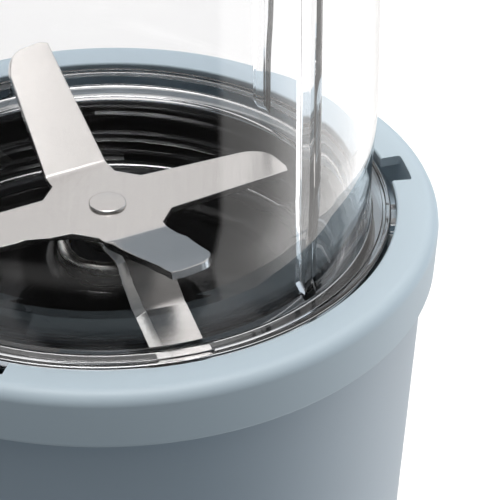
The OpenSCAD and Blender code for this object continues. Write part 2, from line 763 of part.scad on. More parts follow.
module bearing_housing() {
    top = rim_h - 6.9;
    low = holder_low + 2;
    color(steel) rotate_extrude() polygon(concat(
        [[hub_r - 2.2, low], [hub_r, low]],
        arc([hub_r - 1.1, top - 1.1], 1.1, 0, 180, 10),
        [[hub_r - 2.2, top - 1.1]]));
}

module bush(z, h) {
    color("#b08d57") tube(hub_r - 2.22, blade_shaft_r + run_gap, h, z);
}

module upper_bush() { bush(rim_h - 14.5, 5); }
module lower_bush() { bush(holder_low + 2.2, 5); }

module shaft_seal() {
    in_r = blade_shaft_r + run_gap;
    color(rubber) rotate_extrude() polygon([[in_r, rim_h - 9.3], [hub_r - 2.4, rim_h - 9.3],
        [hub_r - 2.4, rim_h - 8.1], [hub_r - 3, rim_h - 7.6], [in_r + 1, rim_h - 7.6], [in_r, rim_h - 8.1]]);
}

// ---- blade rotor ----

module blade_shaft() {
    spacer_low = low_arm_z - low_blade_t - spacer_h;
    color(steel) {
        translate([0, 0, driven_low + 1.2]) cylinder(r = blade_shaft_r, h = spacer_low - driven_low - 1.2);
        translate([-square_w / 2, -square_w / 2, spacer_low - 1])
            cube([square_w, square_w, arm_z - spacer_low + 1 + eps]);
        translate([0, 0, arm_z]) cylinder(r = rivet_r, h = 0.3);
        translate([0, 0, arm_z + 0.3 - eps]) cylinder(r1 = rivet_r, r2 = rivet_r - 0.4, h = 0.25);
    }
}

// Half width of an arm at a distance from the middle
function arm_half(r) = arm_root + (arm_tip - arm_root) * (r - 10) / (blade_reach - 10);

// Outline of a length of arm between two distances; the last one ends in a cut-back tip
module arm_outline(r0, r1, len, last) {
    h0 = arm_half(r0);
    h1 = arm_half(r1);
    tip = [[len - 0.2, -h1], [len + 0.3, -h1 + 1.5], [len - 0.3, h1 - 1.9], [len - 3.6, h1 + 0.2]];
    polygon(concat([[0, -h0]], last ? tip : [[len, -h1], [len, h1]], [[0, h0]]));
}

// The part of an arm past its bend i, as a plate turned about each bend line
module arm_past(bends, slopes, i, reach, t) {
    last = i == len(bends) - 1;
    r1 = last ? reach : bends[i + 1];
    run = (r1 - bends[i]) / cos(slopes[i]);
    rotate([0, -slopes[i] + (i > 0 ? slopes[i - 1] : 0), 0]) {
        translate([0, 0, -t / 2]) linear_extrude(t) arm_outline(bends[i], r1, run, last);
        rotate([90, 0, 0]) cylinder(r = t / 2 - 0.02, h = 2 * arm_half(bends[i]) - 0.04, center = true);
        if (!last) translate([run, 0, 0]) arm_past(bends, slopes, i + 1, reach, t);
    }
}

// A blade: flat arms about a hub, each bent past its root, with a square hole
module blade(az, bends, slopes, reach, t, top, hub) {
    difference() {
        translate([0, 0, top - t / 2]) {
            translate([0, 0, -t / 2]) linear_extrude(t) union() {
                for (i = [0 : len(az) - 1]) let (b = bends[i][0], h = arm_half(b))
                    rotate(az[i]) polygon([[0, -arm_root], [b, -h], [b, h], [0, arm_root]]);
                rotate(az[0]) square(hub, center = true);
            }
            for (i = [0 : len(az) - 1]) rotate([0, 0, az[i]])
                translate([bends[i][0], 0, 0]) arm_past(bends[i], slopes[i], 0, reach, t);
        }
        translate([0, 0, top - t / 2]) cube([square_w + 0.1, square_w + 0.1, 2 * t], center = true);
    }
}

module upper_blade() {
    bends = [for (r = upper_bend) [r]];
    slopes = [for (a = upper_slope) [a]];
    color(steel) blade(upper_az, bends, slopes, blade_reach, blade_t, arm_z, 15);
}

module lower_blade() {
    slopes = [-lower_slope, -lower_end_slope];
    reach = blade_reach - lower_short;
    bends = [for (b = lower_bend) reach - b];
    color(steel) blade(lower_az, [bends, bends], [slopes, slopes], reach, low_blade_t, low_arm_z, 11);
}

module blade_washer() {
    color(steel) tube(5, square_w * 0.75, washer_t, low_arm_z);
}

module blade_spacer() {
    color(steel) tube(4.6, blade_shaft_r + 0.2, spacer_h, low_arm_z - low_blade_t - spacer_h);
}

module driven_coupling() {
    color(black) translate([0, 0, driven_low]) difference() {
        linear_extrude(driven_h) star(7.2, 9.9, 1.4);
        translate([0, 0, 1.2]) cylinder(r = blade_shaft_r + 0.02, h = 6);
    }
}

module retaining_clip() {
    color(iron) tube(4.6, blade_shaft_r + 0.02, 0.7, holder_low - 1);
}

housing();
top_collar();
well_liner();
bottom_cover();
rubber_feet();
cover_screws();
deck_screws();
cord_gland();
upper_bracket();
lower_bracket();
mount_bushes();
motor_screws();
motor_bolts();
stator_core();
field_coils();
upper_bearing();
lower_bearing();
brush_holders();
carbon_brushes();
brush_springs();
control_board();
microswitches();
lead_wires();
plunger_spring_1();
plunger_spring_2();
plunger_spring_3();
plunger_1();
plunger_2();
plunger_3();
motor_shaft();
armature_core();
armature_winding();
commutator();
cooling_fan();
drive_coupling();
cup();
blade_holder();
sealing_gasket();
bearing_housing();
upper_bush();
lower_bush();
shaft_seal();
blade_shaft();
upper_blade();
lower_blade();
blade_spacer();
blade_washer();
driven_coupling();
retaining_clip();
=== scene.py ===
"""Looks of a personal countertop blender: painted base, clear cup, steel blades."""

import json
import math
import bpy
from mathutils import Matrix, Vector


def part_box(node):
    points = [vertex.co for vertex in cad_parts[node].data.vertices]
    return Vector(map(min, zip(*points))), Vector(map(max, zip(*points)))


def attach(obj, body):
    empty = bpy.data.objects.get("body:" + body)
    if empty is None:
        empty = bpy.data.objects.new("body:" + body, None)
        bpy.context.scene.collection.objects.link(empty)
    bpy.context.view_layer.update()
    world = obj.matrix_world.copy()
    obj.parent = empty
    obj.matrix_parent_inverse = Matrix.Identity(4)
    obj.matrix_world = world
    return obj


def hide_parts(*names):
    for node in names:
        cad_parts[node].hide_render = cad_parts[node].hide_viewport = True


bl_info = {
    "name": "Countertop Blender Looks",
    "version": (1, 0, 0),
    "blender": (4, 5, 0),
    "location": "3D View > Sidebar > Blender Looks",
    "description": "Builds the visible pieces, finishes and studio of a personal countertop blender",
    "category": "Object",
}

import bmesh
import bpy
from bpy.props import FloatProperty, FloatVectorProperty, IntProperty, PointerProperty
from mathutils import Matrix, Vector

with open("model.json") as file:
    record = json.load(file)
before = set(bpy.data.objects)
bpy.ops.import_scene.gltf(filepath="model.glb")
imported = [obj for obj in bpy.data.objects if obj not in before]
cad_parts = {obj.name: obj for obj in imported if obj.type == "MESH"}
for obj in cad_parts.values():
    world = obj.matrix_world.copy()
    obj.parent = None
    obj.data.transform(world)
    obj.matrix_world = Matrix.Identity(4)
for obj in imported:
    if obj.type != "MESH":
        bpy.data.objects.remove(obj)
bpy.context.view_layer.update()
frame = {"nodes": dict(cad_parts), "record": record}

MM = 0.001
TURN = 2 * math.pi


def top_of(node):
    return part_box(node)[1].z / MM


def low_of(node):
    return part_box(node)[0].z / MM


def reach_of(node):
    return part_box(node)[1].x / MM


# Heights and radii in mm, read from the frame where a node's box gives them
RIM = top_of("top_collar")
SEAM = low_of("top_collar")
COLLAR_R = reach_of("top_collar")
CUP_TOP = top_of("cup")
TAB_R = reach_of("cup")
SPOUT_END = low_of("cup")
HOLDER_TOP = top_of("blade_holder")
SKIRT_LOW = low_of("blade_holder")
HOLDER_R = reach_of("blade_holder")
BLADE_TOP = RIM + 0.5
FLANGE_TOP = RIM - 0.3
FLANGE_LOW = FLANGE_TOP - 3.4
FLANGE_R = 49.5
CUP_R = 46.8
NECK_R = 46.0
CUP_WALL = 2.2
SPOUT_R = 42.3
SPOUT_IN = 40.2
THREAD_R = 43.9
BOWL_Z = RIM - 22
SHELF_Z = BOWL_Z + 3.2
HUB_R = 9.1
LEDGE_Z = SEAM + 2.5
LIP_T = 1.8
RIM_IN = 50.4
NOTCH_R = TAB_R + 0.6
TAB_AZ = (0, 118, 236)
TAB_HALF = 3.75
TWIST = 13
RIB_AZ = (-39, 50, 141, 230)
SHELL_R = COLLAR_R - 2.5
FOOT_GAP = 2.0
BASE_DRAW = 9.9
LINER_R = 48.2
PLUNGER_AT = 50.5
PLUNGER_LOW = LEDGE_Z - 5.5
SPRING_LOW = PLUNGER_LOW - 5
GLAND_Z = 18
SHELL_T = 2.2
BLADE_T = 1.3
LOW_BLADE_T = 1.8
WASHER_T = 1.4
SPACER_H = 2.2
LOW_BLADE_TOP = BLADE_TOP - BLADE_T - WASHER_T
BOSS_AZ = (0, 120, 240)
DECK_AZ = (59, 177, 298)
DECK_R = 43.5
BEND_STEPS = (-0.8, -0.4, 0, 0.4, 0.8)


# ---- sizes and colours a user can change ----


class BaseLook(bpy.types.PropertyGroup):
    body_colour: FloatVectorProperty(
        name="Body colour",
        description="Paint of the tapered body",
        subtype="COLOR",
        default=(0.37, 0.455, 0.53),
    )
    collar_colour: FloatVectorProperty(
        name="Collar colour",
        description="Paint of the collar and its rim",
        subtype="COLOR",
        default=(0.49, 0.59, 0.66),
    )
    grain: FloatProperty(
        name="Grain",
        description="Depth of the moulded texture on the body",
        default=0.05,
        min=0,
        max=1,
    )


class CupLook(bpy.types.PropertyGroup):
    tint: FloatVectorProperty(
        name="Tint", description="Tint of the clear cup", subtype="COLOR", default=(0.985, 0.99, 1.0)
    )
    thread_height: FloatProperty(
        name="Thread height", description="Height of the thread in mm", default=0.7, min=0.2, max=0.8
    )
    thread_pitch: FloatProperty(
        name="Thread pitch", description="Rise of the thread per turn in mm", default=4.1, min=3, max=6
    )


class BladeLook(bpy.types.PropertyGroup):
    steel_colour: FloatVectorProperty(
        name="Steel colour", description="Colour of the blades", subtype="COLOR", default=(0.66, 0.635, 0.615)
    )
    ground_width: FloatProperty(
        name="Ground edge", description="Width of the ground edge in mm", default=2.5, min=0.5, max=4
    )
    edge_round: FloatProperty(
        name="Edge rounding",
        description="Rounding of the stamped edges in mm",
        default=0.2,
        min=0.02,
        max=0.4,
    )


class StudioLook(bpy.types.PropertyGroup):
    lens: FloatProperty(name="Lens", description="Focal length", default=261.9, unit="CAMERA")
    distance: FloatProperty(
        name="Distance", description="Distance of the camera", default=0.64, unit="LENGTH"
    )
    elevation: FloatProperty(
        name="Elevation",
        description="Angle of the camera above the horizon",
        default=math.radians(33.14),
        subtype="ANGLE",
    )
    aim: FloatVectorProperty(
        name="Aim", description="Point the camera looks at", default=(0.02486, 0.0, 0.14037), subtype="XYZ"
    )
    glow: FloatProperty(name="Glow", description="Strength of the studio light", default=1.0, min=0, max=4)
    turn_steps: IntProperty(
        name="Turn steps", description="Facets of a turned piece", default=192, min=48, max=256
    )


# ---- shader nodes ----


class Wire:
    """One socket of a shader, which sums and products can use."""

    def __init__(self, shader, socket):
        self.shader = shader
        self.socket = socket

    def _math(self, operation, a, b):
        return self.shader.add("ShaderNodeMath", {0: a, 1: b}, operation=operation)

    def __add__(self, other):
        return self._math("ADD", self, other)

    def __radd__(self, other):
        return self._math("ADD", other, self)

    def __sub__(self, other):
        return self._math("SUBTRACT", self, other)

    def __rsub__(self, other):
        return self._math("SUBTRACT", other, self)

    def __mul__(self, other):
        return self._math("MULTIPLY", self, other)

    def __rmul__(self, other):
        return self._math("MULTIPLY", other, self)


class Shader:
    """The node tree of one material or world."""

    def __init__(self, owner):
        owner.use_nodes = True
        self.tree = owner.node_tree
        self.tree.nodes.clear()

    def add(self, kind, values=None, output=0, stops=None, **settings):
        """Add a node, give it its settings and then its sockets' values or links."""
        node = self.tree.nodes.new(kind)
        for key, value in settings.items():
            setattr(node, key, value)
        if stops:
            ramp = node.color_ramp
            while len(ramp.elements) < len(stops):
                ramp.elements.new(0.5)
            for element, (place, shade) in zip(ramp.elements, stops):
                element.position = place
                element.color = (shade, shade, shade, 1) if isinstance(shade, float) else (*shade, 1)
        for key, value in (values or {}).items():
            if isinstance(value, Wire):
                self.tree.links.new(value.socket, node.inputs[key])
            else:
                node.inputs[key].default_value = value
        return Wire(self, node.outputs[output]) if node.outputs else node

    def place(self, scale=(1, 1, 1), turn=0):
        """Object coordinates, stretched and turned about Z."""
        spot = self.add("ShaderNodeTexCoord", output="Object")
        return self.add(
            "ShaderNodeMapping", {"Vector": spot, "Scale": scale, "Rotation": (0, 0, turn)}
        )

    def noise(self, spot, scale, detail=2.0, rough=0.5):
        return self.add(
            "ShaderNodeTexNoise",
            {"Vector": spot, "Scale": scale, "Detail": detail, "Roughness": rough},
        )

    def steps(self, value, low, high):
        """0 below low, 1 above high, and smooth between."""
        return self.add(
            "ShaderNodeMapRange",
            {"Value": value, "From Min": low, "From Max": high},
            interpolation_type="SMOOTHSTEP",
        )

    def blend(self, a, b, share):
        """Colour a at share 0 and b at share 1."""
        return self.add(
            "ShaderNodeMix", {0: share, 6: (*a, 1), 7: (*b, 1)}, output=2, data_type="RGBA"
        )

    def split(self, vector):
        """The three parts of a vector."""
        return [self.add("ShaderNodeSeparateXYZ", {0: vector}, output=i) for i in range(3)]

    def bump(self, height, strength, depth_mm):
        return self.add(
            "ShaderNodeBump", {"Height": height, "Strength": strength, "Distance": depth_mm * MM}
        )

    def finish(self, **values):
        """End in a Principled surface with these sockets."""
        sockets = {key.replace("_", " "): value for key, value in values.items()}
        surface = self.add("ShaderNodeBsdfPrincipled", sockets)
        self.add("ShaderNodeOutputMaterial", {"Surface": surface})


FINISHES = {}


def finish_of(name):
    """The material of that name, made once."""
    if name not in FINISHES:
        material = bpy.data.materials.new(name)
        MAKERS[name](Shader(material))
        FINISHES[name] = material
    return FINISHES[name]


def shade(colour, factor):
    return tuple(min(1.0, c * factor) for c in colour)


def look(group):
    return getattr(bpy.context.scene, group)


def moulded(colour, rough, grain, grain_scale=1500, slow=0.03, depth=0.05):
    """A moulded plastic or rubber: slow drift of colour, fine grain in the gloss and the surface."""

    def make(sh):
        tone = colour() if callable(colour) else colour
        spot = sh.place()
        cloud = sh.noise(spot, 22, 3)
        fine = sh.noise(spot, grain_scale, 2, 0.6)
        sh.finish(
            Base_Color=sh.blend(shade(tone, 1 - slow), shade(tone, 1 + slow), sh.steps(cloud, 0.3, 0.7)),
            Roughness=rough - 0.05 + 0.06 * cloud + 0.06 * fine,
            Normal=sh.bump(fine, grain() if callable(grain) else grain, depth),
        )

    return make


def brushed(colour, rough, stretch=(2600, 60, 2600), turn=0.0, depth=0.02, tone=0.08):
    """A bare metal with fine lines along one direction and faint rub marks."""

    def make(sh):
        shade_of = colour() if callable(colour) else colour
        lines = sh.noise(sh.place(stretch, turn), 1, 3, 0.6)
        rubs = sh.noise(sh.place(), 140, 4, 0.6)
        sh.finish(
            Base_Color=sh.blend(shade(shade_of, 1 - tone), shade(shade_of, 1 + tone), lines),
            Metallic=1.0,
            Roughness=rough - 0.05 + 0.1 * lines + 0.06 * rubs,
            Normal=sh.bump(lines, 0.25, depth),
        )

    return make


def clear_plastic(sh):
    """Clear copolyester with faint handling marks."""
    spot = sh.place()
    marks = sh.noise(sh.place((300, 300, 40)), 1, 3, 0.6)
    cloud = sh.noise(spot, 40, 2)
    sh.finish(
        Base_Color=sh.blend(shade(look("cup_look").tint, 0.985), tuple(look("cup_look").tint), cloud),
        Roughness=0.006 + 0.02 * sh.steps(marks, 0.66, 0.84),
        Transmission_Weight=1.0,
        IOR=1.5,
    )


def gloss_black(sh):
    """Polished black plastic with a slow ripple and fine dust in its gloss."""
    spot = sh.place()
    cloud = sh.noise(spot, 60, 3)
    dust = sh.noise(spot, 700, 2, 0.6)
    sh.finish(
        Base_Color=sh.blend((0.003, 0.003, 0.0035), (0.006, 0.006, 0.007), cloud),
        Roughness=0.10 + 0.04 * cloud + 0.03 * dust,
        IOR=1.34,
        Normal=sh.bump(cloud, 0.02, 0.05),
    )


def ground_steel_with_painted_highlight(sh):
    """A ground edge with grinding lines across it, its steel colour lightened past the blade steel as a
    painted highlight of the bevel.
    """
    lines = sh.noise(sh.place((400, 2600, 400), math.radians(-61)), 1, 3, 0.7)
    sh.finish(
        # Lighter than the blade steel: a painted highlight of the light the bevel catches; the grinding lines
        # are the edge's own
        Base_Color=sh.blend((0.62, 0.61, 0.59), (0.86, 0.85, 0.83), lines),
        Metallic=1.0,
        Roughness=0.24 + 0.14 * lines,
        Normal=sh.bump(lines, 0.5, 0.03),
    )


def laminated(sh):
    """A stack of thin sheets."""
    spot = sh.place()
    sheets = sh.add(
        "ShaderNodeTexWave",
        {"Vector": spot, "Scale": 320, "Distortion": 0.1, "Detail": 1.0},
        output="Fac",
        bands_direction="Z",
    )
    specks = sh.noise(spot, 500, 3)
    sh.finish(
        Base_Color=sh.blend((0.16, 0.17, 0.19), (0.36, 0.37, 0.39), sheets * 0.6 + specks * 0.4),
        Metallic=1.0,
        Roughness=0.42 + 0.12 * specks,
        Normal=sh.bump(sheets, 0.4, 0.06),
    )


def wound_copper(sh):
    """Enamelled wire lying side by side."""
    spot = sh.place()
    turns = sh.add(
        "ShaderNodeTexWave",
        {"Vector": spot, "Scale": 260, "Distortion": 0.6, "Detail": 2.0},
        output="Fac",
        bands_direction="DIAGONAL",
    )
    drift = sh.noise(spot, 90, 3)
    sh.finish(
        Base_Color=sh.blend((0.38, 0.13, 0.05), (0.80, 0.34, 0.15), turns * 0.6 + drift * 0.4),
        Metallic=0.85,
        Roughness=0.28 + 0.16 * drift,
        Normal=sh.bump(turns, 0.7, 0.15),
    )


def circuit_board(sh):
    """Green board with tracks under its lacquer."""
    spot = sh.place((1, 1, 1), math.radians(-20))
    tracks = sh.add(
        "ShaderNodeTexVoronoi",
        {"Vector": spot, "Scale": 260.0},
        output="Distance",
        distance="MANHATTAN",
    )
    line = sh.steps(tracks, 0.42, 0.5)
    drift = sh.noise(spot, 120, 2)
    sh.finish(
        Base_Color=sh.blend((0.01, 0.10, 0.035), (0.03, 0.22, 0.08), line),
        Roughness=0.3 + 0.1 * drift,
        Normal=sh.bump(line, 0.3, 0.03),
    )


MAKERS = {
    "body paint": moulded(
        lambda: look("base_look").body_colour, 0.42, lambda: look("base_look").grain, 1400, 0.03, 0.12
    ),
    "collar paint": moulded(
        lambda: look("base_look").collar_colour, 0.46, lambda: 0.5 * look("base_look").grain, 2200, 0.02, 0.05
    ),
    "dark plastic": moulded((0.022, 0.023, 0.026), 0.45, 0.15, 1600, 0.15, 0.05),
    "gloss black": gloss_black,
    "clear plastic": clear_plastic,
    "foot rubber": moulded((0.035, 0.036, 0.038), 0.72, 0.35, 900, 0.15, 0.1),
    "seal rubber": moulded((0.045, 0.048, 0.052), 0.55, 0.2, 1200, 0.06, 0.04),
    "wire jacket": moulded((0.30, 0.05, 0.05), 0.42, 0.2, 700, 0.1, 0.04),
    "white plastic": moulded((0.72, 0.73, 0.74), 0.38, 0.1, 1800, 0.04, 0.03),
    "carbon": moulded((0.035, 0.035, 0.038), 0.6, 0.4, 2600, 0.2, 0.05),
    "blade steel": brushed(lambda: look("blade_look").steel_colour, 0.18, tone=0.05),
    # Ground edge: real grinding lines, and a painted highlight in its lighter colour
    "ground steel with painted highlight": ground_steel_with_painted_highlight,
    "screw steel": brushed((0.56, 0.55, 0.53), 0.30, (900, 900, 900)),
    "bearing steel": brushed((0.62, 0.61, 0.58), 0.24, (60, 60, 2600)),
    "spring steel": brushed((0.50, 0.50, 0.50), 0.26, (900, 900, 2600)),
    "bracket aluminium": brushed((0.62, 0.63, 0.65), 0.46, (500, 500, 500), depth=0.08),
    "bronze": brushed((0.62, 0.42, 0.20), 0.38, (700, 700, 700)),
    "laminated iron": laminated,
    "copper wire": wound_copper,
    "circuit board": circuit_board,
}

# Finish of each of the frame's material slots
SLOT_FINISH = {
    "base_shell": "body paint",
    "collar_shell": "collar paint",
    "dark_plastic": "dark plastic",
    "foot_rubber": "foot rubber",
    "screw_steel": "screw steel",
    "bracket_aluminium": "bracket aluminium",
    "laminated_iron": "laminated iron",
    "copper_wire": "copper wire",
    "bearing_steel": "bearing steel",
    "carbon": "carbon",
    "spring_steel": "spring steel",
    "board_green": "circuit board",
    "wire_jacket": "wire jacket",
    "white_plastic": "white plastic",
    "clear_cup": "clear plastic",
    "black_gloss": "gloss black",
    "seal_rubber": "seal rubber",
    "bronze": "bronze",
    "blade_steel": "blade steel",
}


# ---- shapes, in mm until a piece is stored ----


def turned(points, closed=True, steps=None):
    """Turn an outline of (radius, height[, corner]) points round the Z axis."""
    bm = bmesh.new()
    verts = [bm.verts.new((p[0], 0, p[1])) for p in points]
    for a, b in zip(verts, verts[1:]):
        bm.edges.new((a, b))
    if closed:
        bm.edges.new((verts[-1], verts[0]))
    for vert, point in zip(verts, points):
        if len(point) > 2:
            round_corners(bm, [vert], point[2], 5)
    bmesh.ops.spin(
        bm,
        geom=bm.verts[:] + bm.edges[:],
        cent=(0, 0, 0),
        axis=(0, 0, 1),
        angle=TURN,
        steps=steps or look("studio_look").turn_steps,
        use_merge=True,
    )
    return tidied(bm)


def tidied(bm):
    """Merge doubles and point the faces outwards."""
    bmesh.ops.remove_doubles(bm, verts=bm.verts, dist=1e-4)
    bmesh.ops.recalc_face_normals(bm, faces=bm.faces)
    return bm


def round_corners(bm, verts, size, segments):
    bmesh.ops.bevel(
        bm, geom=verts, offset=size, segments=segments, profile=0.5, affect="VERTICES", material=-1
    )


def round_edges(bm, edges, size, segments=2):
    bmesh.ops.bevel(
        bm,
        geom=edges,
        offset=size,
        segments=segments,
        profile=0.5,
        affect="EDGES",
        clamp_overlap=True,
        material=-1,
    )


def sharp_edges(bm, degrees=35):
    limit = math.radians(degrees)
    return [e for e in bm.edges if len(e.link_faces) == 2 and e.calc_face_angle(0) > limit]


def block(x, y, z, rounding=0.0):
    """A box between (low, high) pairs on each axis."""
    bm = bmesh.new()
    bmesh.ops.create_cube(bm, size=1)
    size = Vector((x[1] - x[0], y[1] - y[0], z[1] - z[0]))
    middle = Vector((x[0] + x[1], y[0] + y[1], z[0] + z[1])) / 2
    place = Matrix.Translation(middle) @ Matrix.Diagonal(size).to_4x4()
    bmesh.ops.transform(bm, matrix=place, verts=bm.verts)
    if rounding:
        round_edges(bm, bm.edges[:], rounding, 2)
    return bm


def slab(outline, thickness):
    """A flat outline in the XY plane pulled up into a plate, its underside at 0."""
    bm = bmesh.new()
    face = bm.faces.new([bm.verts.new((x, y, 0)) for x, y in outline])
    pulled = bmesh.ops.extrude_face_region(bm, geom=[face])
    lifted = [v for v in pulled["geom"] if isinstance(v, bmesh.types.BMVert)]
    bmesh.ops.translate(bm, verts=lifted, vec=(0, 0, thickness))
    bmesh.ops.recalc_face_normals(bm, faces=bm.faces)
    return bm


def wedge(r_in, r_out, half, z_low, z_high, steps=8, corner=0.0):
    """A slice of a ring about +X, half as wide as half degrees each way."""
    bm = bmesh.new()
    section = ((r_in, z_low), (r_out, z_low), (r_out, z_high), (r_in, z_high))
    verts = [bm.verts.new((r, 0, z)) for r, z in section]
    face = bm.faces.new(verts)
    bmesh.ops.rotate(bm, verts=verts, matrix=Matrix.Rotation(math.radians(-half), 3, "Z"))
    bmesh.ops.spin(
        bm, geom=[face], cent=(0, 0, 0), axis=(0, 0, 1), angle=math.radians(2 * half), steps=steps
    )
    bmesh.ops.recalc_face_normals(bm, faces=bm.faces)
    if corner:
        limit = r_out - 0.1
        upright = [
            e
            for e in sharp_edges(bm)
            if abs(e.verts[0].co.z - e.verts[1].co.z) > 0.1 and e.verts[0].co.xy.length > limit
        ]
        round_edges(bm, upright, corner, 4)
    return bm


def rod(radius, z_low, z_high, rounding=0.0, steps=48):
    outline = [(0, z_low), (radius, z_low), (radius, z_high), (0, z_high)]
    if rounding:
        outline[1] += (rounding,)
        outline[2] += (rounding,)
    return turned(outline, closed=False, steps=steps)


def helix(radius, wire, z_low, z_high, turns, steps=32):
    """A coil spring: a round wire wound about the Z axis."""
    bm = bmesh.new()
    rise = (z_high - z_low) / (turns * steps)
    disc = bmesh.ops.create_circle(bm, cap_ends=True, segments=12, radius=wire)
    place = Matrix.Translation((radius, 0, z_low)) @ Matrix.Rotation(math.pi / 2, 4, "X")
    bmesh.ops.transform(bm, matrix=place, verts=disc["verts"])
    bmesh.ops.spin(
        bm,
        geom=bm.faces[:],
        cent=(0, 0, 0),
        axis=(0, 0, 1),
        dvec=(0, 0, rise),
        angle=TURN * turns,
        steps=int(turns * steps),
    )
    return tidied(bm)


def moved(bm, place):
    bmesh.ops.transform(bm, matrix=place, verts=bm.verts)
    return bm


def spun(bm, degrees):
    """Turned about the Z axis."""
    return moved(bm, Matrix.Rotation(math.radians(degrees), 4, "Z"))


def at(bm, degrees, radius, height=0.0):
    """Carried out along X and then turned about Z."""
    return spun(moved(bm, Matrix.Translation((radius, 0, height))), degrees)


def joined(*parts):
    """One mesh of several closed shapes."""
    whole = bmesh.new()
    for part in parts:
        shape = bpy.data.meshes.new("part")
        part.to_mesh(shape)
        part.free()
        whole.from_mesh(shape)
        bpy.data.meshes.remove(shape)
    return whole


def combined(body, tools, operation):
    """The body with every tool welded on (UNION) or cut away (DIFFERENCE)."""
    scene = bpy.context.scene.collection
    made = []
    for bm in (body, joined(*tools)):
        mesh = bpy.data.meshes.new("shape")
        bm.to_mesh(mesh)
        bm.free()
        thing = bpy.data.objects.new("shape", mesh)
        scene.objects.link(thing)
        made.append(thing)
    change = made[0].modifiers.new("combine", "BOOLEAN")
    change.operation = operation
    change.solver = "EXACT"
    change.use_self = True
    change.object = made[1]
    bpy.context.view_layer.update()
    result = bmesh.new()
    result.from_object(made[0], bpy.context.evaluated_depsgraph_get())
    for thing in made:
        mesh = thing.data
        bpy.data.objects.remove(thing)
        bpy.data.meshes.remove(mesh)
    bmesh.ops.remove_doubles(result, verts=result.verts, dist=1e-4)
    bmesh.ops.dissolve_degenerate(result, dist=1e-4, edges=result.edges)
    return result


def thread(wall, outwards, z_low, z_high, height):
    """A helical ridge on a wall, with a flank on each side of a narrow crest."""
    pitch = look("cup_look").thread_pitch
    turns = (z_high - z_low) / pitch
    steps = int(turns * 144)
    bm = bmesh.new()
    flank = [(-0.3, 0.85), (0, 0.75), (height - 0.1, 0.32)]
    profile = [(out, -up) for out, up in flank] + [(height, 0)] + flank[::-1]
    face = bm.faces.new([bm.verts.new((wall + outwards * out, 0, z_low + up)) for out, up in profile])
    bmesh.ops.spin(
        bm,
        geom=[face],
        cent=(0, 0, 0),
        axis=(0, 0, 1),
        dvec=(0, 0, (z_high - z_low) / steps),
        angle=TURN * turns,
        steps=steps,
    )
    return tidied(bm)


def store(name, bm, body, slot, stands_for=(), smooth=32, finish=None, others=()):
    """Keep a shape as a piece that rides on a body and stands for CAD nodes."""
    moved(bm, Matrix.Scale(MM, 4))
    mesh = bpy.data.meshes.new(name)
    bm.to_mesh(mesh)
    bm.free()
    mesh.shade_smooth()
    mesh.set_sharp_from_angle(angle=math.radians(smooth))
    mesh.materials.append(finish_of(finish or SLOT_FINISH[slot]))
    for other in others:
        mesh.materials.append(finish_of(other))
    piece = bpy.data.objects.new(name, mesh)
    bpy.context.scene.collection.objects.link(piece)
    level = piece.modifiers.new("level", "WEIGHTED_NORMAL")
    level.keep_sharp = True
    level.weight = 100
    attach(piece, body)
    if stands_for:
        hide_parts(*stands_for)
    return piece


def shell_at(z):
    """Outer radius of the tapered body at a height."""
    return SHELL_R - BASE_DRAW * (SEAM - z) / (SEAM - FOOT_GAP)


# ---- pieces ----


def base_shell():
    inner_top = shell_at(SEAM) - SHELL_T
    inner_low = shell_at(FOOT_GAP) - SHELL_T
    skin = turned(
        [
            (inner_low, FOOT_GAP, 0.3),
            (shell_at(FOOT_GAP), FOOT_GAP, 1.5),
            (SHELL_R, SEAM, 0.5),
            (inner_top + 1.2, SEAM),
            (inner_top + 1.2, SEAM + 1.8, 0.2),
            (inner_top, SEAM + 1.8, 0.2),
        ]
    )
    across = Matrix.Rotation(math.pi / 2, 4, "X")
    bore = moved(rod(6.1, -6, 6), Matrix.Translation((0, shell_at(GLAND_Z), GLAND_Z)) @ across)
    skin = combined(skin, [bore], "DIFFERENCE")
    posts = []
    for az in DECK_AZ:
        posts.append(at(tube(4, 1.3, 100.9, 122.9), az, DECK_R))
        posts.append(spun(block((46.4, shell_at(107.9) - 1.8), (-1.25, 1.25), (107.9, 121.9), 0.2), az))
    for az in BOSS_AZ:
        posts.append(at(tube(4, 1.3, 5.5, 21.5), az, inner_low - 6))
        posts.append(spun(block((inner_low - 3, shell_at(6.5) - 1.9), (-1.25, 1.25), (6.5, 20.5), 0.2), az))
    for side in (174, 226):
        posts.append(spun(block((36, shell_at(58.5) - 1.9), (-1.25, 1.25), (58.5, 74.5), 0.2), side))
    store("base_shell", joined(skin, *posts), "base", "base_shell", ["housing"])


def tube(outer, inner, z_low, z_high, rounding=0.2, steps=48):
    edge = min(rounding, (outer - inner) / 3)
    return turned(
        [(inner, z_low, edge), (outer, z_low, edge), (outer, z_high, edge), (inner, z_high, edge)],
        steps=steps,
    )


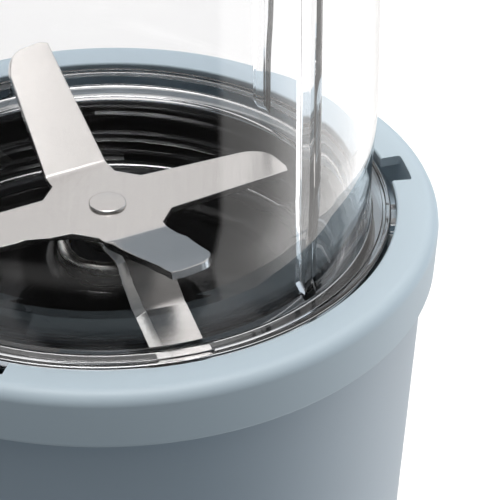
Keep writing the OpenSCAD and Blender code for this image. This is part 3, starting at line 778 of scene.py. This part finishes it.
def top_collar():
    low_r = COLLAR_R - 0.8
    tongue_in = shell_at(SEAM) - SHELL_T - 0.1
    tongue_out = tongue_in + 1.4
    groove_r = NOTCH_R + 0.2
    ring = turned(
        [
            (LINER_R + 0.3, SEAM, 0.2),
            (tongue_in, SEAM),
            (tongue_in, SEAM + 1.9),
            (tongue_out, SEAM + 1.9),
            (tongue_out, SEAM),
            (low_r, SEAM, 0.7),
            (COLLAR_R, RIM, 2.6),
            (RIM_IN, RIM, 0.45),
            (RIM_IN, RIM - LIP_T, 0.2),
            (groove_r, RIM - LIP_T, 0.2),
            (groove_r, LEDGE_Z, 0.3),
            (LINER_R + 0.3, LEDGE_Z, 0.2),
        ]
    )
    cuts = []
    for az in TAB_AZ:
        cuts.append(
            spun(wedge(RIM_IN - 2, NOTCH_R, TAB_HALF + 0.6, RIM - LIP_T - 1, RIM + 1, 10, 0.5), az + TWIST)
        )
        cuts.append(at(rod(1.86, SEAM - 1, LEDGE_Z + 1), az, PLUNGER_AT))
    ring = combined(ring, cuts, "DIFFERENCE")
    lips = [
        e
        for e in sharp_edges(ring, 60)
        if all(v.co.z > RIM - 0.02 for v in e.verts) and min(v.co.xy.length for v in e.verts) > RIM_IN + 0.46
    ]
    round_edges(ring, lips, 0.3, 3)
    store("rim_collar", ring, "base", "collar_shell", ["top_collar"])


def clear_cup():
    wall_in = CUP_R - CUP_WALL
    neck_in = NECK_R - CUP_WALL
    seat = RIM - 2
    cup = turned(
        [
            (0, CUP_TOP),
            (CUP_R - 0.05, CUP_TOP, 9.0),
            (CUP_R, RIM + 19, 3.0),
            (NECK_R, RIM + 11, 3.0),
            (NECK_R, FLANGE_TOP, 0.35),
            (48.0, FLANGE_TOP, 0.1),
            (48.1, FLANGE_TOP - 0.3),
            (48.5, FLANGE_TOP - 0.3),
            (48.6, FLANGE_TOP - 0.05, 0.1),
            (FLANGE_R, FLANGE_TOP - 0.05, 0.5),
            (FLANGE_R, FLANGE_LOW, 0.4),
            (SPOUT_R, FLANGE_LOW, 0.3),
            (SPOUT_R, SPOUT_END, 0.4),
            (SPOUT_IN, SPOUT_END, 0.1),
            (SPOUT_IN, seat - 1.2, 0.5),
            (SPOUT_IN + 0.8, seat, 0.3),
            (neck_in, seat + 0.6, 0.4),
            (neck_in, RIM + 11, 3.0),
            (wall_in, RIM + 19, 3.0),
            (wall_in, CUP_TOP - CUP_WALL, 6.8),
            (0, CUP_TOP - CUP_WALL),
        ],
        closed=False,
    )
    height = look("cup_look").thread_height
    extras = [spun(thread(SPOUT_R, 1, SPOUT_END + 1.6, FLANGE_LOW - 4.4, height), 88)]
    for az in RIB_AZ:
        rib = slab(
            [
                (wall_in + 0.5, seat + 1),
                (wall_in - 0.9, seat + 1),
                (wall_in - 2.8, seat + 4),
                (wall_in - 2.8, CUP_TOP - 40),
                (wall_in + 0.5, CUP_TOP - 30),
            ],
            2.8,
        )
        edges = [e for e in sharp_edges(rib) if all(v.co.x < wall_in for v in e.verts)]
        round_edges(rib, edges, 0.35, 3)
        upright = Matrix.Rotation(math.pi / 2, 4, "X") @ Matrix.Translation((0, 0, -1.4))
        extras.append(spun(moved(rib, upright), az))
    for az in TAB_AZ:
        tab = wedge(FLANGE_R - 0.8, TAB_R, TAB_HALF, RIM - 4.8, RIM - 2.2, 8)
        for vert in tab.verts:
            along = vert.co.y
            if vert.co.z < RIM - 4.7 and along < -1.9:
                vert.co.z += 0.9 * (-along - 1.9) / 1.5 * 0.7
        round_edges(tab, [e for e in sharp_edges(tab) if all(v.co.xy.length > 50 for v in e.verts)], 0.35, 3)
        extras.append(spun(tab, az))
    cup = combined(cup, extras, "UNION")
    store("clear_cup", cup, "cup_unit", "clear_cup", ["cup"], smooth=28)


def blade_holder():
    low = BOWL_Z - 2.5
    boss = BOWL_Z + 12
    body = turned(
        [
            (HUB_R + 0.02, low + 2),
            (5.0, low + 2, 0.2),
            (5.0, low, 0.3),
            (31.6, low, 0.6),
            (31.6, SKIRT_LOW, 0.3),
            (34.0, SKIRT_LOW, 0.3),
            (34.0, low, 0.6),
            (HOLDER_R, low, 1.0),
            (HOLDER_R, HOLDER_TOP, 0.5),
            (THREAD_R, HOLDER_TOP, 0.5),
            (THREAD_R, SHELF_Z),
            (38.6, SHELF_Z, 0.3),
            (37.6, BOWL_Z, 2.2),
            (HUB_R + 7, BOWL_Z, 2.0),
            (HUB_R + 4, BOWL_Z + 3, 1.0),
            (HUB_R + 2.3, boss, 0.8),
            (HUB_R + 0.02, boss, 0.3),
        ]
    )
    ridge = thread(THREAD_R, -1, SPOUT_END + 1.2, HOLDER_TOP - 1.6, look("cup_look").thread_height)
    body = combined(body, [spun(ridge, 60)], "UNION")
    store("holder", body, "cup_unit", "black_gloss", ["blade_holder"], smooth=30)
    gasket = turned(
        [
            (SPOUT_IN - 1.2, SHELF_Z, 0.3),
            (THREAD_R - 0.2, SHELF_Z, 0.3),
            (THREAD_R - 0.2, SPOUT_END, 0.5),
            (41.9, SPOUT_END, 0.2),
            (41.3, SPOUT_END - 0.35, 0.2),
            (40.7, SPOUT_END, 0.2),
            (SPOUT_IN - 1.2, SPOUT_END, 0.5),
        ]
    )
    store("gasket", gasket, "cup_unit", "seal_rubber", ["sealing_gasket"])
    top = RIM - 6.9
    housing = turned(
        [
            (HUB_R - 2.2, low + 2, 0.2),
            (HUB_R, low + 2, 0.2),
            (HUB_R, top, 1.1),
            (HUB_R - 2.2, top, 1.0),
        ],
        steps=128,
    )
    store("bearing_ring", housing, "cup_unit", "bearing_steel", ["bearing_housing"])
    seal = turned(
        [
            (3.04, RIM - 9.3, 0.1),
            (HUB_R - 2.4, RIM - 9.3, 0.2),
            (HUB_R - 2.4, RIM - 8.1, 0.3),
            (HUB_R - 3.2, RIM - 7.7, 0.3),
            (5.6, RIM - 8.2, 0.3),
            (4.2, RIM - 7.7, 0.3),
            (3.04, RIM - 8.1, 0.1),
        ],
        steps=96,
    )
    store("lip_seal", seal, "cup_unit", "foot_rubber", ["shaft_seal"])


def heading(az):
    """The way an arm at az points, and the way to its left."""
    along = Vector((math.cos(math.radians(az)), math.sin(math.radians(az)), 0))
    return along, Vector((-along.y, along.x, 0))


def arm_half(r, reach):
    """Half the width of an arm that narrows towards its tip."""
    root, tip, root_r = 6, 4.5, 10
    return root + (tip - root) * (r - root_r) / (reach - root_r)


def bend(bm, az, start, slope, width=0.8):
    """Bend what lies past start on the arm at az by slope degrees, over a short arc."""
    turn = Matrix.Rotation(math.radians(az), 3, "Z")
    back = turn.transposed()
    first = start - width
    full = math.radians(slope)
    for vert in bm.verts:
        local = back @ vert.co
        past = local.x - first
        if past <= 0 or abs(local.y) > 9:
            continue
        radius = 2 * width / full
        angle = min(past, 2 * width) / (2 * width) * full
        x = first + radius * math.sin(angle) - local.z * math.sin(angle)
        z = radius * (1 - math.cos(angle)) + local.z * math.cos(angle)
        rest = max(0.0, past - 2 * width)
        x += rest * math.cos(full)
        z += rest * math.sin(full)
        vert.co = turn @ Vector((x, local.y, z))


def score(bm, az, distance):
    """Split the arm at az across at a distance from the middle, so that it can bend there."""
    along, side = heading(az)
    geom = [f for f in bm.faces if all(abs(v.co.dot(side)) < 9 or v.co.dot(along) < 9 for v in f.verts)]
    edges = {e for f in geom for e in f.edges}
    verts = {v for f in geom for v in f.verts}
    bmesh.ops.bisect_plane(
        bm, geom=[*verts, *edges, *geom], dist=1e-5, plane_co=along * distance, plane_no=along
    )


def star_outline(arms):
    """Sides and tips of flat arms given as (azimuth, flat length, reach), counter-clockwise."""
    sides = []
    for az, length, reach in arms:
        along, side = (way.to_2d() for way in heading(az))
        h0, h1 = arm_half(0, reach), arm_half(reach, reach)
        tip = [
            (length - 0.2, -h1),
            (length + 0.3, -h1 + 1.5),
            (length - 0.3, h1 - 2.1),
            (length - 3.4, h1 + 0.15),
        ]
        sides.append(
            {
                "right": (side * -h0, along * length + side * -h1),
                "left": (side * h0, along * length + side * h1),
                "tip": [along * s + side * w for s, w in tip],
            }
        )
    return sides


def crossing(a, b):
    """Where two lines, each given by two points, meet."""
    p, q = a
    r, s = b
    d1, d2 = q - p, s - r
    t = ((r - p).x * d2.y - (r - p).y * d2.x) / (d1.x * d2.y - d1.y * d2.x)
    return p + d1 * t


def blade_blank(arms, thickness, crotch):
    """A stamped star before it is bent: its outline with cut-back crotches, as a plate about z = 0."""
    sides = star_outline(arms)
    outline = []
    for i, arm in enumerate(sides):
        outline += arm["tip"]
        after = sides[(i + 1) % len(sides)]
        if len(sides) > 2:
            corner = crossing(arm["left"], after["right"])
            towards = (arm["left"][1] - corner).normalized()
            away = (after["right"][1] - corner).normalized()
            outline += [corner + towards * crotch, corner + away * crotch]
    bm = slab(outline, thickness)
    return moved(bm, Matrix.Translation((0, 0, -thickness / 2)))


def soften(bm, edges_round):
    round_edges(bm, sharp_edges(bm, 50), edges_round, 2)
    return bm


def upper_blade():
    reach = reach_of_tip("upper_blade")
    arms = [(27, 0, 10.5), (118, 35, 12.8), (205, 0, 10.5), (298, 17, 11.3)]
    flat = [(az, start + (reach - start) / math.cos(math.radians(slope)), reach) for az, slope, start in arms]
    bm = blade_blank(flat, BLADE_T, 3.2)
    tips = []
    for az, length, _ in flat:
        along, side = heading(az)
        for edge in bm.edges:
            a, b = (v.co for v in edge.verts)
            middle = (a + b) / 2
            upright = abs(a.z - b.z) > 0.5
            if upright and length - 4.2 < middle.dot(along) < length + 1 and 1 < middle.dot(side) < 6:
                tips.append(edge)
    round_edges(bm, tips, 1.6, 5)
    for az, slope, start in arms:
        if slope:
            for offset in BEND_STEPS:
                score(bm, az, start + offset)
    for az, slope, start in arms:
        if slope:
            bend(bm, az, start, slope)
    soften(bm, look("blade_look").edge_round)
    moved(bm, Matrix.Translation((0, 0, BLADE_TOP - BLADE_T / 2)))
    store("cutting_blade", bm, "blade_rotor", "blade_steel", ["upper_blade"], smooth=24)


def reach_of_tip(node):
    """Longest reach of a blade from the axis, less its rounded end."""
    corners = frame["nodes"][node].data.vertices
    return max(v.co.xy.length for v in corners) / MM - 0.6


def lower_blade():
    reach = 31.0
    inner, outer = 12.0, 18.5
    first, last = -46, -35
    length = (
        inner
        + (outer - inner) / math.cos(math.radians(first))
        + (reach - outer) / math.cos(math.radians(last))
    )
    second = inner + (outer - inner) / math.cos(math.radians(first))
    arms = [(az, length, reach) for az in (119, 299)]
    bm = blade_blank(arms, LOW_BLADE_T, 0)
    width = look("blade_look").ground_width
    for az, *_ in arms:
        along, side = heading(az)
        inner_line = Vector((0, 0, 0)) + side * -(arm_half(0, reach) - width)
        outer_line = along * length + side * -(arm_half(reach, reach) - width)
        across = (outer_line - inner_line).normalized().cross(Vector((0, 0, 1)))
        half = [f for f in bm.faces if f.calc_center_median().dot(along) > -1 or len(f.verts) > 5]
        edges = {e for f in half for e in f.edges}
        verts = {v for f in half for v in f.verts}
        bmesh.ops.bisect_plane(
            bm, geom=[*verts, *edges, *half], dist=1e-5, plane_co=inner_line, plane_no=across
        )
    for az, *_ in arms:
        for offset in BEND_STEPS:
            score(bm, az, inner + offset)
            score(bm, az, second + offset)
        score(bm, az, 7)
    for az, *_ in arms:
        along, side = heading(az)
        for vert in bm.verts:
            out, off = vert.co.dot(along), vert.co.dot(side)
            if vert.co.z > 0 and out > 6.9 and off < -(arm_half(out, reach) - width) - 0.3:
                vert.co.z -= 0.82 * LOW_BLADE_T
    bm.normal_update()
    for face in bm.faces:
        middle = face.calc_center_median()
        for az, *_ in arms:
            along, side = heading(az)
            out, off = middle.dot(along), middle.dot(side)
            if out > 7 and off < -(arm_half(out, reach) - width) and 0.2 < face.normal.z < 0.98:
                face.material_index = 1
    for az, *_ in arms:
        bend(bm, az, second, last - first)
        bend(bm, az, inner, first)
    soften(bm, 0.08)
    moved(bm, Matrix.Translation((0, 0, LOW_BLADE_TOP - LOW_BLADE_T / 2)))
    # The ground faces take the ground steel, whose lighter colour is a painted highlight of the bevel
    others = ["ground steel with painted highlight"]
    store("crushing_blade", bm, "blade_rotor", "blade_steel", ["lower_blade"], smooth=24, others=others)


def blade_fittings():
    spacer_low = LOW_BLADE_TOP - LOW_BLADE_T - SPACER_H
    driven_low = low_of("driven_coupling")
    shaft = rod(3.0, driven_low + 1.2, spacer_low, 0.2)
    square = block((-2.1, 2.1), (-2.1, 2.1), (spacer_low - 1, BLADE_TOP), 0.15)
    head = turned(
        [(0, BLADE_TOP), (3.3, BLADE_TOP), (3.3, BLADE_TOP + 0.55, 0.32), (0, BLADE_TOP + 0.5)],
        closed=False,
        steps=96,
    )
    bmesh.ops.holes_fill(head, edges=[e for e in head.edges if e.is_boundary])
    store("riveted_shaft", joined(shaft, square, head), "blade_rotor", "blade_steel", ["blade_shaft"])
    washer = tube(5.0, 3.15, LOW_BLADE_TOP, LOW_BLADE_TOP + WASHER_T, 0.2, 96)
    store("washer", washer, "blade_rotor", "screw_steel", ["blade_washer"])
    spacer = tube(4.6, 3.2, spacer_low, spacer_low + SPACER_H, 0.25, 96)
    store("spacer", spacer, "blade_rotor", "screw_steel", ["blade_spacer"])
    low = low_of("retaining_clip")
    gap = block((2.4, 6), (-1.1, 1.1), (low - 1, low + 2))
    clip = combined(tube(4.6, 3.02, low, low + 0.7, 0.1, 96), [gap], "DIFFERENCE")
    store("retaining_ring", clip, "blade_rotor", "spring_steel", ["retaining_clip"])


def feet():
    cover = FOOT_GAP + 0.5
    at_r = shell_at(FOOT_GAP) - SHELL_T - 10
    parts = []
    for az in (45, 135, 225, 315):
        foot = turned(
            [
                (0, 0.25),
                (2.6, 0.25, 0.2),
                (3.2, 0, 0.2),
                (4.9, 0, 0.3),
                (5.5, cover, 0.2),
                (2.5, cover, 0.1),
                (2.5, cover + 3, 0.1),
                (3.3, cover + 3, 0.3),
                (2.2, cover + 5, 0.5),
                (0, cover + 5),
            ],
            closed=False,
            steps=64,
        )
        parts.append(at(foot, az, at_r))
    store("rubber_foot_set", joined(*parts), "base", "foot_rubber", ["rubber_feet"])


def screw(head_r, head_h, shank_r, length):
    """A pan-head screw with a cross recess, head down at 0."""
    half_pitch = 0.35
    crests = int((length - head_h - 1.5) / half_pitch)
    thread_points = [
        (shank_r - (0.25 if i % 2 else 0), head_h + 0.6 + i * half_pitch) for i in range(crests)
    ]
    body = turned(
        [
            (0, 0),
            (head_r, 0, 0.5),
            (head_r, head_h, 0.15),
            (shank_r, head_h, 0.1),
            *thread_points,
            (shank_r * 0.7, length - 0.4),
            (0, length),
        ],
        closed=False,
        steps=40,
    )
    arms = [
        block((-head_r * 0.6, head_r * 0.6), (-0.4, 0.4), (-1, head_h * 0.5)),
        block((-0.4, 0.4), (-head_r * 0.6, head_r * 0.6), (-1, head_h * 0.5)),
    ]
    return combined(body, arms, "DIFFERENCE")


def screws():
    inner_low = shell_at(FOOT_GAP) - SHELL_T
    cover, deck, motor = (3.0, 1.4, 1.25, 14), (2.9, 1.1, 1.25, 17), (3.2, 2.0, 1.25, 14)
    deck_top, motor_low = top_of("deck_screws"), low_of("motor_screws")
    sets = (
        ("cover_screw_set", "cover_screws", BOSS_AZ, inner_low - 6, FOOT_GAP + 0.5, cover, False),
        ("deck_screw_set", "deck_screws", DECK_AZ, DECK_R, deck_top, deck, True),
        ("motor_screw_set", "motor_screws", (45, 135, 225, 315), 29, motor_low, motor, False),
    )
    for name, node, places, radius, height, sizes, flipped in sets:
        parts = []
        for az in places:
            one = screw(*sizes)
            if flipped:
                moved(one, Matrix.Rotation(math.pi, 4, "X"))
            parts.append(at(one, az, radius, height))
        store(name, joined(*parts), "base", "screw_steel", [node])


def cord_gland():
    sleeve = turned(
        [
            (3.6, -5.2, 0.2),
            (7.6, -5.2, 0.3),
            (7.6, -3.4, 0.3),
            (6.0, -3.4),
            (6.0, 0.9),
            (7.6, 0.9, 0.3),
            (6.6, 3.0, 0.4),
            (5.2, 3.0, 0.2),
            (5.0, 3.8, 0.3),
            (3.6, 3.8, 0.3),
        ],
        steps=96,
    )
    place = Matrix.Translation((0, shell_at(GLAND_Z), GLAND_Z)) @ Matrix.Rotation(-math.pi / 2, 4, "X")
    store("gland", moved(sleeve, place), "base", "foot_rubber", ["cord_gland"])


def springs():
    for k, az in enumerate(TAB_AZ, 1):
        coil = at(helix(1.62, 0.22, SPRING_LOW + 0.3, PLUNGER_LOW - 0.3, 5), az, PLUNGER_AT)
        store(f"return_spring_{k}", coil, "base", "spring_steel", [f"plunger_spring_{k}"], smooth=60)
    low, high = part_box("brush_springs")
    parts = []
    for side in (0, 180):
        coil = helix(2.1, 0.3, 18.2, high.x / MM - 0.2, 6)
        middle = (low.z + high.z) / 2 / MM
        turn = Matrix.Rotation(math.pi / 2, 4, "Y")
        parts.append(spun(moved(coil, Matrix.Translation((0, 0, middle)) @ turn), side))
    store("brush_spring_set", joined(*parts), "base", "spring_steel", ["brush_springs"], smooth=60)


def plungers():
    low = low_of("plunger_1")
    top = top_of("plunger_1") - 0.06
    for k, az in enumerate(TAB_AZ, 1):
        pin = turned(
            [
                (0, low),
                (1.2, low, 0.3),
                (1.2, PLUNGER_LOW, 0.1),
                (1.8, PLUNGER_LOW, 0.15),
                (1.8, top - 0.5, 0.2),
                (1.3, top, 0.3),
                (0, top),
            ],
            closed=False,
            steps=40,
        )
        body = f"plunger_{'abc'[k - 1]}"
        store(f"switch_pin_{k}", at(pin, az, PLUNGER_AT), body, "white_plastic", [f"plunger_{k}"])


def kept_nodes():
    """Give every CAD node that still shows its finish."""
    slots = {entry["node"]: entry["material_slot"] for entry in frame["record"]["subparts"]}
    for name, node in frame["nodes"].items():
        material = finish_of(SLOT_FINISH[slots[name]])
        if not node.material_slots:
            node.data.materials.append(material)
        for slot in node.material_slots:
            slot.material = material


# ---- stage ----


def floor():
    bm = bmesh.new()
    bmesh.ops.create_circle(bm, cap_ends=True, radius=12, segments=96)
    mesh = bpy.data.meshes.new("floor")
    bm.to_mesh(mesh)
    bm.free()
    material = bpy.data.materials.new("pale floor")
    sh = Shader(material)
    drift = sh.noise(sh.place(), 1.5, 2)
    sh.finish(Base_Color=sh.blend((0.86, 0.86, 0.86), (0.9, 0.9, 0.9), drift), Roughness=0.8)
    mesh.materials.append(material)
    ground = bpy.data.objects.new("floor", mesh)
    bpy.context.scene.collection.objects.link(ground)
    ground.visible_glossy = False
    ground.visible_diffuse = False
    ground.visible_transmission = False


def studio_light():
    """A soft studio as the world: bright above and behind, a panel on the right, dark in front."""
    world = bpy.data.worlds.new("studio")
    bpy.context.scene.world = world
    sh = Shader(world)
    way = sh.add("ShaderNodeTexCoord", output="Generated")
    x, y, z = sh.split(way)
    above = sh.steps(z, 0.74, 0.86)
    behind = sh.steps(y + 0.81 * x, -0.02, 0.04)
    under = 1 - sh.steps(z, -0.15, -0.05)
    gap = sh.steps(z, -0.44, -0.38) + 0.4 * (1 - sh.steps(z, -0.70, -0.64))
    top = above * 1.08 + sh.steps(z, 0.93, 0.97) * 7.6
    back = sh.steps(y, 0.25, 0.6) * sh.steps(z, 0.10, 0.45) * (1 - above) * 0.95
    right = sh.steps(x, 0.45, 0.9) * (1 - sh.steps(z, 0.45, 0.62)) * sh.steps(y, -0.55, 0.1) * 0.75
    fill = sh.steps(0 - y, 0.3, 0.9) * sh.steps(z, -0.15, 0.15) * (1 - sh.steps(z, 0.5, 0.7))
    fill = fill * (1 - sh.steps(x, 0.1, 0.45)) * 0.1
    low = behind * under * (1.1 + 0.6 * sh.steps(x, 0.3, 0.6)) * (1 - 0.5 * sh.steps(0 - y, 0, 0.3))
    front = (1 - behind) * under * gap * 0.62
    horizon = sh.steps(y, 0.75, 0.95) * sh.steps(z, -0.1, 0) * (1 - sh.steps(z, 0.1, 0.3)) * 0.3
    dim = 0.03 + 0.10 * sh.steps(z, -0.1, 0.1)
    glow = look("studio_look").glow
    strength = (top + back + right + fill + low + front + horizon + dim) * glow
    warmth = sh.steps(z, 0.1, 0.5) + sh.steps(0 - z, 0.2, 0.35)
    tone = sh.blend((0.84, 0.965, 1.07), (1.0, 0.985, 0.97), warmth)
    shadeless = sh.add("ShaderNodeBackground", {"Color": tone, "Strength": strength})
    sh.add("ShaderNodeOutputWorld", {"Surface": shadeless})


def camera():
    studio = look("studio_look")
    data = bpy.data.cameras.new("camera")
    data.lens = studio.lens
    data.sensor_width = 36
    data.clip_start, data.clip_end = 0.02, 50
    eye = bpy.data.objects.new("camera", data)
    back = Vector((0, -math.cos(studio.elevation), math.sin(studio.elevation)))
    eye.location = Vector(studio.aim) + back * studio.distance
    eye.rotation_euler = (math.pi / 2 - studio.elevation, 0, 0)
    bpy.context.scene.collection.objects.link(eye)
    bpy.context.scene.camera = eye
    bpy.context.scene.view_settings.view_transform = "Standard"


def stage():
    camera()
    floor()
    studio_light()


# ---- operators ----


class BLENDERLOOK_OT_stage(bpy.types.Operator):
    """Make the camera, the floor and the studio light."""

    bl_idname = "blenderlook.stage"
    bl_label = "Stage"

    def execute(self, context):
        stage()
        return {"FINISHED"}


class BLENDERLOOK_OT_shell(bpy.types.Operator):
    """Make the tapered body with its bosses."""

    bl_idname = "blenderlook.shell"
    bl_label = "Base Shell"

    def execute(self, context):
        base_shell()
        return {"FINISHED"}


class BLENDERLOOK_OT_collar(bpy.types.Operator):
    """Make the collar with its three notches."""

    bl_idname = "blenderlook.collar"
    bl_label = "Collar"

    def execute(self, context):
        top_collar()
        return {"FINISHED"}


class BLENDERLOOK_OT_cup(bpy.types.Operator):
    """Make the clear cup with its ribs, tabs and thread."""

    bl_idname = "blenderlook.cup"
    bl_label = "Cup"

    def execute(self, context):
        clear_cup()
        return {"FINISHED"}


class BLENDERLOOK_OT_holder(bpy.types.Operator):
    """Make the blade holder, its gasket, bearing ring and lip seal."""

    bl_idname = "blenderlook.holder"
    bl_label = "Blade Holder"

    def execute(self, context):
        blade_holder()
        return {"FINISHED"}


class BLENDERLOOK_OT_upper(bpy.types.Operator):
    """Make the four-armed cutting blade."""

    bl_idname = "blenderlook.upper"
    bl_label = "Upper Blade"

    def execute(self, context):
        upper_blade()
        return {"FINISHED"}


class BLENDERLOOK_OT_lower(bpy.types.Operator):
    """Make the two-armed crushing blade with its ground edges."""

    bl_idname = "blenderlook.lower"
    bl_label = "Lower Blade"

    def execute(self, context):
        lower_blade()
        return {"FINISHED"}


class BLENDERLOOK_OT_fittings(bpy.types.Operator):
    """Make the riveted shaft, the washer, the spacer and the retaining ring."""

    bl_idname = "blenderlook.fittings"
    bl_label = "Blade Fittings"

    def execute(self, context):
        blade_fittings()
        return {"FINISHED"}


class BLENDERLOOK_OT_feet(bpy.types.Operator):
    """Make the four rubber feet."""

    bl_idname = "blenderlook.feet"
    bl_label = "Feet"

    def execute(self, context):
        feet()
        return {"FINISHED"}


class BLENDERLOOK_OT_screws(bpy.types.Operator):
    """Make the cover, deck and motor screws."""

    bl_idname = "blenderlook.screws"
    bl_label = "Screws"

    def execute(self, context):
        screws()
        return {"FINISHED"}


class BLENDERLOOK_OT_gland(bpy.types.Operator):
    """Make the rubber gland of the cord way."""

    bl_idname = "blenderlook.gland"
    bl_label = "Gland"

    def execute(self, context):
        cord_gland()
        return {"FINISHED"}


class BLENDERLOOK_OT_springs(bpy.types.Operator):
    """Make the return springs and the brush springs."""

    bl_idname = "blenderlook.springs"
    bl_label = "Springs"

    def execute(self, context):
        springs()
        return {"FINISHED"}


class BLENDERLOOK_OT_plungers(bpy.types.Operator):
    """Make the three switch plungers."""

    bl_idname = "blenderlook.plungers"
    bl_label = "Plungers"

    def execute(self, context):
        plungers()
        return {"FINISHED"}


class BLENDERLOOK_OT_inner(bpy.types.Operator):
    """Give the frame's own pieces their finishes."""

    bl_idname = "blenderlook.inner"
    bl_label = "Inner Pieces"

    def execute(self, context):
        kept_nodes()
        return {"FINISHED"}


OPERATORS = (
    BLENDERLOOK_OT_stage,
    BLENDERLOOK_OT_shell,
    BLENDERLOOK_OT_collar,
    BLENDERLOOK_OT_cup,
    BLENDERLOOK_OT_holder,
    BLENDERLOOK_OT_upper,
    BLENDERLOOK_OT_lower,
    BLENDERLOOK_OT_fittings,
    BLENDERLOOK_OT_feet,
    BLENDERLOOK_OT_screws,
    BLENDERLOOK_OT_gland,
    BLENDERLOOK_OT_springs,
    BLENDERLOOK_OT_plungers,
    BLENDERLOOK_OT_inner,
)


class BLENDERLOOK_PT_panel(bpy.types.Panel):
    """Lists the making steps."""

    bl_label = "Blender Looks"
    bl_space_type = "VIEW_3D"
    bl_region_type = "UI"
    bl_category = "Blender Looks"

    def draw(self, context):
        for made in OPERATORS:
            self.layout.operator(made.bl_idname)


GROUPS = {"base_look": BaseLook, "cup_look": CupLook, "blade_look": BladeLook, "studio_look": StudioLook}


def register():
    for group in GROUPS.values():
        bpy.utils.register_class(group)
    for name, group in GROUPS.items():
        setattr(bpy.types.Scene, name, PointerProperty(type=group))
    for made in OPERATORS:
        bpy.utils.register_class(made)
    bpy.utils.register_class(BLENDERLOOK_PT_panel)


def unregister():
    bpy.utils.unregister_class(BLENDERLOOK_PT_panel)
    for made in reversed(OPERATORS):
        bpy.utils.unregister_class(made)
    for name, group in GROUPS.items():
        delattr(bpy.types.Scene, name)
        bpy.utils.unregister_class(group)


def main():
    register()
    bpy.ops.blenderlook.stage()
    bpy.ops.blenderlook.shell()
    bpy.ops.blenderlook.collar()
    bpy.ops.blenderlook.cup()
    bpy.ops.blenderlook.holder()
    bpy.ops.blenderlook.upper()
    bpy.ops.blenderlook.lower()
    bpy.ops.blenderlook.fittings()
    bpy.ops.blenderlook.feet()
    bpy.ops.blenderlook.screws()
    bpy.ops.blenderlook.gland()
    bpy.ops.blenderlook.springs()
    bpy.ops.blenderlook.plungers()
    bpy.ops.blenderlook.inner()


if __name__ == "__main__":
    main()
